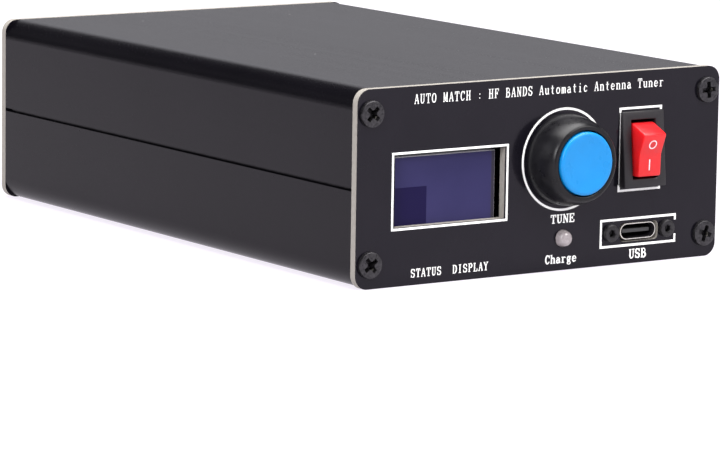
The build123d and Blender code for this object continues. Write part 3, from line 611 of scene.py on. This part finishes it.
def screw_mesh(name, head, height, shank, length, material, hexagon=0.0):
    """Screw of head and shank radius, its seat in the plane y = 0 and its head towards -Y.

    The recess is a cross, or a hexagon of that width across its flats.
    """
    edge = 0.3 * height
    profile = [(0.0, -height)]
    profile += [(head - 1.2 * edge, -height), (head - 0.7 * edge, -height + 0.03)]
    profile += [(head - 0.25 * edge, -height + 0.3 * edge), (head, -height + edge), (head, 0.0)]
    profile += [(shank, 0.0), (shank, 0.9)]
    pitch = 0.5
    for index in range(int((length - 1.6) / pitch)):
        profile += [(shank, 0.95 + index * pitch), (shank * 0.82, 0.95 + (index + 0.5) * pitch)]
    profile += [(shank * 0.8, length - 0.4), (0.0, length)]
    thing = turned(name, profile, 0, 0, material, None, False, 64)
    if hexagon:
        corner = hexagon / math.sqrt(3)
        rings = [circle(0, 0, corner + 0.28, -height - 0.02, 6), circle(0, 0, corner, -height + 0.18, 6)]
        rings += [circle(0, 0, corner, 0.3, 6), [(0, 0.6, 0)] * 6]
    else:
        rings = [
            star(0.67 * head, 0.185 * head, 0.1 * head, -height - 0.12),
            star(0.64 * head, 0.175 * head, 0.09 * head, -height),
            star(0.44 * head, 0.14 * head, 0.06 * head, 0.9),
        ]
    vertices, faces = lofted(rings)
    cutter = piece("cutter", vertices, faces, material, None)
    carve(thing, cutter)
    return thing


def spread(name, pattern, spots, y, outward, turns, node):
    """One piece made of copies of a screw, standing in for a CAD node."""
    shape = bmesh.new()
    for index, (x, z) in enumerate(spots):
        copy = pattern.data.copy()
        spin = Matrix.Rotation(math.radians(turns[index % len(turns)]), 4, "Y")
        flip = Matrix.Identity(4) if outward < 0 else Matrix.Rotation(math.pi, 4, "Z")
        copy.transform(Matrix.Translation((x * MM, y * MM, z * MM)) @ flip @ spin)
        shape.from_mesh(copy)
        bpy.data.meshes.remove(copy)
    mesh = bpy.data.meshes.new(name)
    shape.to_mesh(mesh)
    shape.free()
    mesh.shade_smooth()
    mesh.set_sharp_from_angle(angle=math.radians(32))
    mesh.materials.append(pattern.data.materials[0])
    thing = bpy.data.objects.new(name, mesh)
    scene.collection.objects.link(thing)
    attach(thing, "case")
    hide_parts(node)
    return thing


middle_z = (panel_low.z + panel_high.z) / 2
panel_reach_x, panel_reach_z = 40.8, 14.6
panel_spots = [
    (side * panel_reach_x, middle_z + level * panel_reach_z) for side in (-1, 1) for level in (-1, 1)
]
panel_screw = screw_mesh(
    "panel_screw", head=2.6, height=0.8, shank=1.25, length=8.0, material=screw_black
)
spread(
    "front_screws", panel_screw, panel_spots, front, -1, (-38, -48, -72, -4),
    "front_panel_screws",
)
spread(
    "rear_screws", panel_screw, panel_spots, rear, 1, (15, 60, 33, 80), "rear_panel_screws",
)
bpy.data.objects.remove(panel_screw)

usb_low, usb_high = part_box("usb_shell")
usb_x = (usb_low.x + usb_high.x) / 2 / MM
usb_z = (usb_low.z + usb_high.z) / 2 / MM
usb_screw = screw_mesh(
    "usb_screw", head=1.75, height=0.9, shank=0.98, length=6.0, material=socket_black, hexagon=1.3
)
usb_screw_reach = 7.0
usb_spots = [(usb_x - usb_screw_reach, usb_z), (usb_x + usb_screw_reach, usb_z)]
spread("usb_socket_screws", usb_screw, usb_spots, front, -1, (10, 24), "usb_screws")
bpy.data.objects.remove(usb_screw)

# ---- Charging socket ----

usb_width, usb_height = 8.94, 3.26
lip_profile = [
    (0.0, 7.3), (0.0, 0.08), (0.03, 0.02), (0.11, 0.0), (0.19, 0.02), (0.22, 0.08), (0.22, 7.3)
]
lip = []
for inset, depth in lip_profile:
    width, height = usb_width - 2 * inset, usb_height - 2 * inset
    lip.append(rounded_box(usb_x, usb_z, width, height, height / 2 - 0.001, front + depth, 12))
vertices, faces = lofted(lip, round_trip=True)
usb_rim = piece("usb_rim", vertices, faces, plated, "case")
# The shell's inner walls past its lip take the black material: painted shade inside the plated steel
# socket.
usb_rim.data.materials.append(switch_black)
for polygon in usb_rim.data.polygons:
    across = Vector((polygon.center.x / MM - usb_x, 0, polygon.center.z / MM - usb_z))
    if polygon.normal.dot(across) < 0 and polygon.center.y / MM > front + 0.2:
        polygon.material_index = 1
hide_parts("usb_shell")

# ---- Rocker switch ----

frame_low, frame_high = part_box("switch_frame")
switch_x = (frame_low.x + frame_high.x) / 2 / MM
switch_z = (frame_low.z + frame_high.z) / 2 / MM
pivot_y = front + 1.0
lean = math.radians(11.5)
flange_depth_low, flange_depth_high = 2.0, 0.6
opening_size, flange_size, body_size = (6.1, 11.8), (10.4, 15.2), (8.9, 13.6)


def flange_front(z):
    """Depth of the sloping flange face at a height."""
    bottom, top = frame_low.z / MM, frame_high.z / MM
    share = (z - bottom) / (top - bottom)
    return front - (flange_depth_low + share * (flange_depth_high - flange_depth_low))


def upright_ring(size, depth=None):
    """Rectangle of points round the switch, on the sloping face unless a depth is given."""
    width, height = size
    points = []
    for sx, sz in ((-1, -1), (1, -1), (1, 1), (-1, 1)):
        z = switch_z + sz * height / 2
        y = flange_front(z) if depth is None else depth
        points.append((switch_x + sx * width / 2, y, z))
    return points


rings = [
    upright_ring(opening_size, front + 11.0),
    upright_ring(opening_size),
    upright_ring(flange_size),
    upright_ring(flange_size, front),
    upright_ring(body_size, front),
    upright_ring(body_size, front + 12.5),
]
vertices, faces = lofted(rings)
switch_shell = piece("switch_bezel", vertices, faces, switch_black, "case")
bevelled(switch_shell, 0.22)
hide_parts("switch_frame")


def rocker_point(u, v, x):
    """Point of the rocker from its own height u and outward distance v."""
    y = pivot_y - u * math.sin(lean) - v * math.cos(lean)
    z = switch_z + u * math.cos(lean) - v * math.sin(lean)
    return (x, y, z)


rocker_outline = [
    (1.9, -3.6), (1.9, -1.3), (5.2, -0.6), (5.5, 0.0), (5.55, 0.27), (5.48, 0.75), (5.35, 1.3),
    (4.64, 4.42), (4.54, 4.74), (4.38, 4.9), (4.16, 4.94), (3.9, 4.92), (2.4, 4.66), (1.0, 4.43),
    (0.3, 4.33), (0.0, 4.31), (-0.3, 4.33), (-1.0, 4.43), (-2.4, 4.66), (-4.2, 4.94), (-4.45, 4.92),
    (-4.6, 4.7), (-5.35, 1.3), (-5.55, 0.27), (-5.2, -0.6), (-1.9, -1.3), (-1.9, -3.6),
]
ROUND = 0.3
rocker_half_width = 2.74
rocker_x = switch_x + 0.1
rocker_length_share = 0.97
round_steps = 4
rings = []
for side, turns in ((-1, range(round_steps + 1)), (1, range(round_steps, -1, -1))):
    for index in turns:
        a = math.pi / 2 * index / round_steps
        inset = ROUND * (1 - math.sin(a))
        reach = rocker_half_width - ROUND * (1 - math.cos(a))
        rings.append(
            [
                rocker_point(
                    rocker_length_share * u * (1 - inset / 5.5),
                    1.5 + (v - 1.5) * (1 - inset / 3.4),
                    rocker_x + side * reach,
                )
                for u, v in rocker_outline
            ]
        )
vertices, faces = lofted(rings)
rocker = piece("rocker_key", vertices, faces, rocker_red, "power_rocker")
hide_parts("power_rocker")

MARK_LIFT = 0.05
bar_x = switch_x - 0.1

pin_rings = []
for reach in (-4.0, -3.9, 3.9, 4.0):
    radius = 0.8 if abs(reach) == 4.0 else 0.9
    pin_rings.append(
        [
            (switch_x + reach, pivot_y + radius * math.cos(a), switch_z + radius * math.sin(a))
            for a in full_turn(32)
        ]
    )
vertices, faces = lofted(pin_rings)
piece("rocker_pins", vertices, faces, rocker_red, "power_rocker")


def rocker_face(u):
    """Outward distance of the rocker's two sloping faces at its own height u."""
    return 4.27 + abs(u) * 0.165


def mark_ring(name, u, outer, inner):
    """Printed O on the upper rocker face."""
    rings = []
    for radius, lift in ((inner, 0.0), (inner, MARK_LIFT), (outer, MARK_LIFT), (outer, 0.0)):
        ring = []
        for a in full_turn(48):
            height = u + radius * math.sin(a)
            x = switch_x + radius * math.cos(a)
            ring.append(rocker_point(height, rocker_face(height) + lift, x))
        rings.append(ring)
    vertices, faces = lofted(rings, round_trip=True)
    return piece(name, vertices, faces, red_print, "power_rocker")


def mark_bar(name, u_low, u_high, half_width):
    """Printed I on the lower rocker face."""
    rings = []
    for lift in (0.0, MARK_LIFT):
        ring = []
        for u, side in ((u_low, -1), (u_low, 1), (u_high, 1), (u_high, -1)):
            ring.append(rocker_point(u, rocker_face(u) + lift, bar_x + side * half_width))
        rings.append(ring)
    vertices, faces = lofted(rings)
    return piece(name, vertices, faces, red_print, "power_rocker")


mark_ring("rocker_mark_off", u=2.15, outer=0.95, inner=0.72)
mark_bar("rocker_mark_on", u_low=-3.15, u_high=-1.0, half_width=0.12)

# ---- Charge lamp and display glass ----

lamp_low, lamp_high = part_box("charge_lamp")
lamp_x = (lamp_low.x + lamp_high.x) / 2 / MM
lamp_z = (lamp_low.z + lamp_high.z) / 2 / MM
lamp_profile = [
    (0.0, front - 1.62), (0.45, front - 1.64), (0.85, front - 1.6), (1.2, front - 1.44),
    (1.42, front - 1.2), (1.55, front - 0.85), (1.64, front - 0.4), (1.7, front + 0.1),
    (1.7, front + 1.7), (2.3, front + 1.7), (2.3, front + 6.0), (0.0, front + 6.0),
]
lamp = turned("charge_lamp_lens", lamp_profile, lamp_x, lamp_z, lamp_milk, "case", False)
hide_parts("charge_lamp")

glass_low, glass_high = (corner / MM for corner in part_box("display_glass"))
glass_x = (glass_low.x + glass_high.x) / 2
glass_z = (glass_low.z + glass_high.z) / 2
glass_width = glass_high.x - glass_low.x
glass_height = glass_high.z - glass_low.z
rings = []
for inset, depth in ((0.12, 0.0), (0.0, 0.12), (0.0, 1.5)):
    rings.append(
        rounded_box(
            glass_x, glass_z, glass_width - 2 * inset, glass_height - 2 * inset, 0.1,
            glass_low.y + depth, 2,
        )
    )
vertices, faces = lofted(rings)
glass = piece("display_pane", vertices, faces, display_violet, "case", 20)
glass.data.materials.append(ground_edge)
for polygon in glass.data.polygons:
    if abs(polygon.normal.y) < 0.95:
        polygon.material_index = 1
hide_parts("display_glass")

# ---- Printing on the front panel: frames, ring and stroke lettering ----

PRINT_LIFT = 0.02


class Print:
    """White print: flat outlines raised a few hundredths of a millimetre off the front panel."""

    def __init__(self):
        self.vertices = []
        self.faces = []
        self.layer = 0

    def outline(self, points):
        """Filled outline of (x, z) points, each a hair higher than the last so none coincide."""
        self.layer += 1
        y = front - PRINT_LIFT - 0.0004 * (self.layer % 24)
        start = len(self.vertices)
        count = len(points)
        self.vertices += [(x, front + 0.01, z) for x, z in points]
        self.vertices += [(x, y, z) for x, z in points]
        self.faces.append(tuple(range(start + count, start + 2 * count)))
        for index in range(count):
            after = (index + 1) % count
            self.faces.append(
                (start + index, start + after, start + count + after, start + count + index)
            )

    def bar(self, x_low, x_high, z_low, z_high):
        self.outline([(x_low, z_low), (x_high, z_low), (x_high, z_high), (x_low, z_high)])

    def frame(self, x_low, x_high, z_low, z_high, line):
        """Rectangular line frame given by its outer edges."""
        self.bar(x_low, x_high, z_high - line, z_high)
        self.bar(x_low, x_high, z_low, z_low + line)
        self.bar(x_low, x_low + line, z_low + line, z_high - line)
        self.bar(x_high - line, x_high, z_low + line, z_high - line)

    def stroke(self, start, end, weight, length_on=0.0):
        """Straight stroke with flat ends, drawn out a little past them."""
        run = Vector((end[0] - start[0], end[1] - start[1]))
        if run.length < 1e-9:
            return
        along = run.normalized()
        across = Vector((-along.y, along.x)) * weight / 2
        first = Vector(start) - along * length_on
        last = Vector(end) + along * length_on
        corners = [first - across, last - across, last + across, first + across]
        self.outline([(c.x, c.y) for c in corners])

    def finish(self, name):
        return piece(name, self.vertices, self.faces, white_print, "case")


def arc(cx, cz, rx, rz, start, end, steps=10):
    """Points of an elliptic arc between two angles in degrees."""
    angles = [math.radians(start + (end - start) * index / steps) for index in range(steps + 1)]
    return [(cx + rx * math.cos(a), cz + rz * math.sin(a)) for a in angles]


STEM, HAIR = 1.0, 0.6


def post(x, high=1):
    """Heavy upright from the base line."""
    return STEM, [(x, 0), (x, high)]


def bar(low, high, z=0):
    """Fine level line or serif."""
    return HAIR, [(low, z), (high, z)]


def thick(*points):
    return STEM, list(points)


def thin(*points):
    return HAIR, list(points)


def bow(*curve):
    return STEM, arc(*curve)


def curl(*curve):
    return HAIR, arc(*curve)


# Strokes of each letter in a box one wide and one high: (share of the full weight, points).
GLYPHS = {
    "A": [thin((0.1, 0), (0.48, 1)), thick((0.52, 1), (0.88, 0)), bar(0.24, 0.74, 0.34),
         bar(0, 0.26), bar(0.7, 1)],
    "B": [post(0.22), (HAIR, [(0.05, 1), (0.5, 1)] + arc(0.5, 0.77, 0.32, 0.23, 90, -90)),
         bow(0.5, 0.27, 0.38, 0.27, 90, -90), bar(0.22, 0.5, 0.54), bar(0.05, 0.5)],
    "C": [bow(0.52, 0.5, 0.4, 0.5, 100, 260), curl(0.52, 0.5, 0.4, 0.5, 100, 30),
         curl(0.52, 0.5, 0.4, 0.5, 260, 325), thin((0.87, 1), (0.87, 0.7))],
    "D": [post(0.2), (HAIR, [(0.04, 1), (0.45, 1)] + arc(0.45, 0.5, 0.45, 0.5, 90, 45)),
         bow(0.45, 0.5, 0.45, 0.5, 55, -55),
         (HAIR, arc(0.45, 0.5, 0.45, 0.5, -45, -90) + [(0.04, 0)])],
    "E": [post(0.22), thin((0.05, 1), (0.86, 1), (0.86, 0.76)), bar(0.22, 0.62, 0.52),
         thin((0.62, 0.38), (0.62, 0.66)), thin((0.05, 0), (0.9, 0), (0.9, 0.26))],
    "F": [post(0.24), thin((0.05, 1), (0.88, 1), (0.88, 0.76)), bar(0.24, 0.64, 0.52),
         thin((0.64, 0.38), (0.64, 0.66)), bar(0.05, 0.45)],
    "H": [post(0.2), post(0.8), bar(0.2, 0.8, 0.52), bar(0.02, 0.38), bar(0.62, 0.98),
         bar(0.02, 0.38, 1), bar(0.62, 0.98, 1)],
    "I": [post(0.5), bar(0.25, 0.75), bar(0.25, 0.75, 1)],
    "L": [post(0.26), bar(0.05, 0.48, 1), thin((0.05, 0), (0.9, 0), (0.9, 0.3))],
    "M": [thin((0.14, 0), (0.14, 1)), post(0.84), thick((0.16, 1), (0.48, 0.1)),
         thin((0.48, 0.1), (0.82, 1)), bar(0, 0.3), bar(0.66, 1)],
    "N": [thin((0.16, 0), (0.16, 1)), thick((0.18, 1), (0.82, 0)), thin((0.84, 0), (0.84, 1)),
         bar(0, 0.32), bar(0.66, 1, 1), bar(0.02, 0.2, 1)],
    "O": [bow(0.5, 0.5, 0.4, 0.5, 110, 250), bow(0.5, 0.5, 0.4, 0.5, -70, 70),
         curl(0.5, 0.5, 0.4, 0.5, 60, 120, 5), curl(0.5, 0.5, 0.4, 0.5, 240, 300, 5)],
    "P": [post(0.24), bar(0.05, 0.55, 1), bow(0.55, 0.75, 0.32, 0.25, 80, -80),
         bar(0.55, 0.24, 0.5), bar(0.05, 0.46)],
    "S": [curl(0.5, 0.75, 0.34, 0.25, 15, 110), bow(0.48, 0.75, 0.34, 0.25, 110, 225),
         thick((0.24, 0.58), (0.78, 0.42)), bow(0.5, 0.26, 0.36, 0.26, 38, -70),
         curl(0.5, 0.26, 0.36, 0.26, -70, -165), thin((0.84, 1), (0.84, 0.72)),
         thin((0.13, 0), (0.13, 0.3))],
    "T": [post(0.5), thin((0.06, 0.74), (0.06, 1), (0.94, 1), (0.94, 0.74)), bar(0.28, 0.72)],
    "U": [(STEM, [(0.2, 1), (0.2, 0.35)] + arc(0.5, 0.32, 0.3, 0.32, 180, 250, 6)),
         (HAIR, arc(0.5, 0.32, 0.32, 0.32, 250, 360, 6) + [(0.82, 1)]), bar(0.02, 0.4, 1),
         bar(0.64, 1, 1)],
    "Y": [thick((0.12, 1), (0.5, 0.46)), thin((0.5, 0.46), (0.88, 1)), thick((0.5, 0.46), (0.5, 0)),
         bar(0, 0.28, 1), bar(0.72, 1, 1), bar(0.28, 0.72)],
    "a": [curl(0.45, 0.46, 0.28, 0.2, 155, 20), thick((0.73, 0.5), (0.73, 0.05), (0.9, 0.03)),
         bow(0.4, 0.19, 0.24, 0.19, 80, 290), thin((0.42, 0.37), (0.73, 0.4)),
         curl(0.45, 0.2, 0.28, 0.2, 270, 340, 5)],
    "c": [bow(0.52, 0.33, 0.34, 0.33, 100, 260), curl(0.52, 0.33, 0.34, 0.33, 100, 30),
         curl(0.52, 0.33, 0.34, 0.33, 260, 325)],
    "e": [bow(0.5, 0.33, 0.36, 0.33, 110, 260), curl(0.5, 0.33, 0.36, 0.33, 110, 5),
         bar(0.86, 0.16, 0.36), curl(0.5, 0.33, 0.36, 0.33, 260, 325)],
    "g": [bow(0.45, 0.42, 0.26, 0.24, 0, 360, 14), thin((0.66, 0.58), (0.92, 0.66)),
         thin((0.28, 0.22), (0.2, 0.1), (0.34, 0.04)), thick((0.34, 0.04), (0.7, 0.02)),
         curl(0.48, -0.14, 0.34, 0.15, 50, -230, 14)],
    "h": [post(0.2), bar(0.04, 0.22, 1), curl(0.5, 0.42, 0.3, 0.24, 170, 60),
         (STEM, arc(0.5, 0.42, 0.3, 0.24, 60, 0, 5) + [(0.8, 0)]), bar(0.04, 0.38),
         bar(0.64, 0.98)],
    "i": [post(0.5, 0.62), bar(0.3, 0.52, 0.62), bar(0.26, 0.76), thick((0.47, 0.9), (0.53, 0.9))],
    "m": [post(0.14, 0.64), curl(0.33, 0.44, 0.19, 0.2, 170, 60),
         (STEM, arc(0.33, 0.44, 0.19, 0.2, 60, 0, 4) + [(0.52, 0)]),
         curl(0.71, 0.44, 0.19, 0.2, 170, 60),
         (STEM, arc(0.7, 0.44, 0.19, 0.2, 60, 0, 4) + [(0.89, 0)]), bar(0.02, 0.26),
         bar(0.42, 0.62), bar(0.8, 1)],
    "n": [post(0.2, 0.64), bar(0.04, 0.22, 0.64), curl(0.5, 0.42, 0.3, 0.24, 170, 60),
         (STEM, arc(0.5, 0.42, 0.3, 0.24, 60, 0, 5) + [(0.8, 0)]), bar(0.04, 0.38),
         bar(0.64, 0.98)],
    "o": [bow(0.5, 0.33, 0.36, 0.33, 110, 250), bow(0.5, 0.33, 0.36, 0.33, -70, 70),
         curl(0.5, 0.33, 0.36, 0.33, 60, 120, 5), curl(0.5, 0.33, 0.36, 0.33, 240, 300, 5)],
    "r": [post(0.32, 0.64), bar(0.1, 0.34, 0.64), curl(0.66, 0.36, 0.34, 0.28, 170, 50),
         bar(0.1, 0.58)],
    "t": [thick((0.45, 0.9), (0.45, 0.12)), curl(0.63, 0.16, 0.18, 0.16, 190, 310, 6),
         bar(0.14, 0.8, 0.64)],
    "u": [(STEM, [(0.2, 0.64), (0.2, 0.22)] + arc(0.46, 0.22, 0.26, 0.22, 180, 260, 5)),
         curl(0.5, 0.24, 0.28, 0.24, 260, 350, 5), thick((0.79, 0.64), (0.79, 0)),
         bar(0.04, 0.22, 0.64), bar(0.62, 0.8, 0.64), bar(0.78, 0.98, 0.01)],
    ":": [thick((0.46, 0.12), (0.54, 0.12)), thick((0.46, 0.56), (0.54, 0.56))],
    " ": [],
}


def lettering(printer, text, x_low, x_high, base, height, fill, weight):
    """Even-pitch line of serif letters between two X limits.

    Each letter fills that share of its pitch, and weight is its heavy stroke over its height.
    """
    pitch = (x_high - x_low + 0.25 * height * (1 - fill)) / len(text)
    width = pitch * fill
    for index, letter in enumerate(text):
        left = x_low + index * pitch
        for share, points in GLYPHS[letter]:
            breadth = weight * height * share
            placed = [(left + px * width, base + pz * height) for px, pz in points]
            for start, end in zip(placed, placed[1:]):
                printer.stroke(start, end, breadth, breadth * 0.25)


frames = Print()

# The display window's frame.
frames.frame(-35.8, -8.2, 10.9, 26.1, 0.45)

# The switch's frame is open at its sides, with a thin line showing along the left.
bracket_left, bracket_right = 18.8, 29.5
bracket_line = 0.55
bracket_bars = ((14.6, 15.05), (31.08, 31.52))
bracket_ends = ((15.05, 16.0), (30.5, 31.08))
for z_low, z_high in bracket_bars:
    frames.bar(bracket_left, bracket_right, z_low, z_high)
for z_low, z_high in bracket_ends:
    for x in (bracket_left, bracket_right - bracket_line):
        frames.bar(x, x + bracket_line, z_low, z_high)
frames.bar(19.02, 19.16, 16.1, 30.5)

# The charging socket's frame breaks off where its right screw head crosses it.
line = 0.48
x_low, x_high, z_low, z_high = 14.65, 33.75, 3.5, 9.3
frames.bar(x_low, x_high, z_high - line, z_high)
frames.bar(x_low, x_high, z_low, z_low + line)
frames.bar(x_high - line, x_high, z_low + line, usb_z - 1.3)
frames.bar(x_high - line, x_high, usb_z + 1.5, z_high - line)
frames.bar(x_low, x_low + line, z_low + line, z_high - line)

# The ring round the push button.
ring_inner, ring_outer = 9.81, 10.27
ring_angles = full_turn(120)
for a, b in zip(ring_angles, ring_angles[1:] + ring_angles[:1]):
    frames.outline(
        [
            (tune_x + radius * math.cos(angle), tune_z + radius * math.sin(angle))
            for radius, angle in ((ring_inner, a), (ring_outer, a), (ring_outer, b), (ring_inner, b))
        ]
    )
frames.finish("panel_print_frames")

# Text, left and right end, base line, letter height, share of its pitch, weight.
labels = Print()
label_rows = [
    ("AUTO MATCH : HF BANDS Automatic Antenna Tuner", -30.8, 29.9, 35.3, 1.75, 0.76, 0.12),
    ("TUNE", 2.4, 8.4, 9.55, 1.58, 0.86, 0.21),
    ("Charge", 1.25, 9.1, 1.55, 1.6, 0.86, 0.2),
    ("USB", 22.1, 26.5, 1.05, 1.72, 0.86, 0.2),
    ("STATUS  DISPLAY", -31.0, -12.5, 1.55, 1.55, 0.78, 0.15),
]
for text, x_low, x_high, base, height, fill, weight in label_rows:
    lettering(labels, text, x_low, x_high, base, height, fill, weight)
labels.finish("panel_print_labels")

# ---- Radio sockets at the rear ----

flange_thickness = 2.5
flange_side = 25.4
screw_reach = 9.1
bore_radius = 6.1
root_radius, thread_depth = 7.3, 0.64
threads_per_inch = 24
round_count = 96


def flange_holes(x, z):
    """Cutter for the barrel's bore and the four screw holes of a flange."""
    holes = [(0, 0, bore_radius)]
    holes += [(a * screw_reach, b * screw_reach, 1.6) for a in (-1, 1) for b in (-1, 1)]
    shape = bmesh.new()
    for dx, dz, radius in holes:
        bmesh.ops.create_cone(
            shape, cap_ends=True, segments=64, radius1=radius * MM, radius2=radius * MM,
            depth=10 * MM,
            matrix=Matrix.Translation(((x + dx) * MM, rear * MM, (z + dz) * MM))
            @ Matrix.Rotation(math.pi / 2, 4, "X"),
        )
    mesh = bpy.data.meshes.new("cutter")
    shape.to_mesh(mesh)
    shape.free()
    cutter = bpy.data.objects.new("cutter", mesh)
    scene.collection.objects.link(cutter)
    return cutter


def thread_rings(x, z, start, stop):
    """Rings of a helical thread that fades out at both ends."""
    pitch = 25.4 / threads_per_inch
    steps = int((stop - start) / (pitch / 8))
    rings = []
    for step in range(steps + 1):
        y = start + (stop - start) * step / steps
        fade = min(1.0, step / 6, (steps - step) / 6)
        ring = []
        for a in full_turn(round_count):
            phase = ((y - start) / pitch - a / (2 * math.pi)) % 1.0
            ridge = 1 - abs(2 * phase - 1)
            radius = root_radius + thread_depth * min(1.0, 1.25 * ridge) * fade
            ring.append((x + radius * math.cos(a), y, z + radius * math.sin(a)))
        rings.append(ring)
    return rings


def notched_rim(x, z, end):
    """Rings of the barrel's end face, with four notches for the plug's teeth."""
    rings = []
    for radius, drop in ((7.25, 0.12), (7.1, 0.0), (6.3, 0.0), (bore_radius, 0.12)):
        ring = []
        for a in full_turn(round_count):
            off_axis = abs((math.degrees(a) + 45) % 90 - 45)
            notch = 0.6 if off_axis < 5.5 else 0.0
            ring.append((x + radius * math.cos(a), end - notch - drop, z + radius * math.sin(a)))
        rings.append(ring)
    return rings


def radio_socket(prefix):
    """Flanged socket with a helical thread, notched rim and screw holes."""
    low, high = (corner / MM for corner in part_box(prefix + "_body"))
    x, z = (low.x + high.x) / 2, (low.z + high.z) / 2
    back = rear + flange_thickness
    plate_rings = [
        rounded_box(x, z, flange_side - 2 * inset, flange_side - 2 * inset, 2.0 - inset, y, 6)
        for inset, y in ((0.0, rear), (0.0, back - 0.25), (0.08, back - 0.08), (0.3, back))
    ]
    vertices, faces = lofted(plate_rings)
    plate = piece(prefix + "_flange", vertices, faces, nickel, "case")
    carve(plate, flange_holes(x, z))

    start = back + 0.6
    rings = [
        circle(x, z, bore_radius, back, round_count),
        circle(x, z, root_radius, back, round_count),
        circle(x, z, root_radius, start, round_count),
    ]
    rings += thread_rings(x, z, start, high.y - 0.7)
    rings += notched_rim(x, z, high.y)
    vertices, faces = lofted(rings, round_trip=True)
    barrel = piece(prefix + "_barrel", vertices, faces, nickel, "case", 28)
    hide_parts(prefix + "_body")
    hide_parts(prefix + "_body")
    return [(x + a * screw_reach, z + b * screw_reach) for a in (-1, 1) for b in (-1, 1)]


antenna_spots = radio_socket("antenna_socket")
transceiver_spots = radio_socket("transceiver_socket")
socket_screw = screw_mesh(
    "socket_screw", head=2.75, height=1.8, shank=1.45, length=8.0, material=plated
)
spread(
    "socket_fixing_screws", socket_screw, transceiver_spots + antenna_spots,
    rear + flange_thickness, 1, (20, 50, 75), "socket_screws",
)
bpy.data.objects.remove(socket_screw)

# ---- Floor ----

floor_paint = Paint("floor_paper", roughness=0.8, specular=0.2)
floor_tone = floor_paint.noise(0.25)
floor_paint.set(
    "Base Color", floor_paint.ramp(floor_tone, [(0.3, (0.15, 0.15, 0.15)), (0.7, (0.17, 0.17, 0.17))])
)
floor_paint.shader.inputs["Emission Color"].default_value = (0.96, 0.91, 1, 1)
floor_paint.shader.inputs["Emission Strength"].default_value = 0.88
floor_mesh = bpy.data.meshes.new("floor")
floor_mesh.from_pydata(
    [(-6, -6, -0.00005), (6, -6, -0.00005), (6, 6, -0.00005), (-6, 6, -0.00005)], [], [(0, 1, 2, 3)]
)
floor_mesh.materials.append(floor_paint.material)
floor = bpy.data.objects.new("floor", floor_mesh)
scene.collection.objects.link(floor)
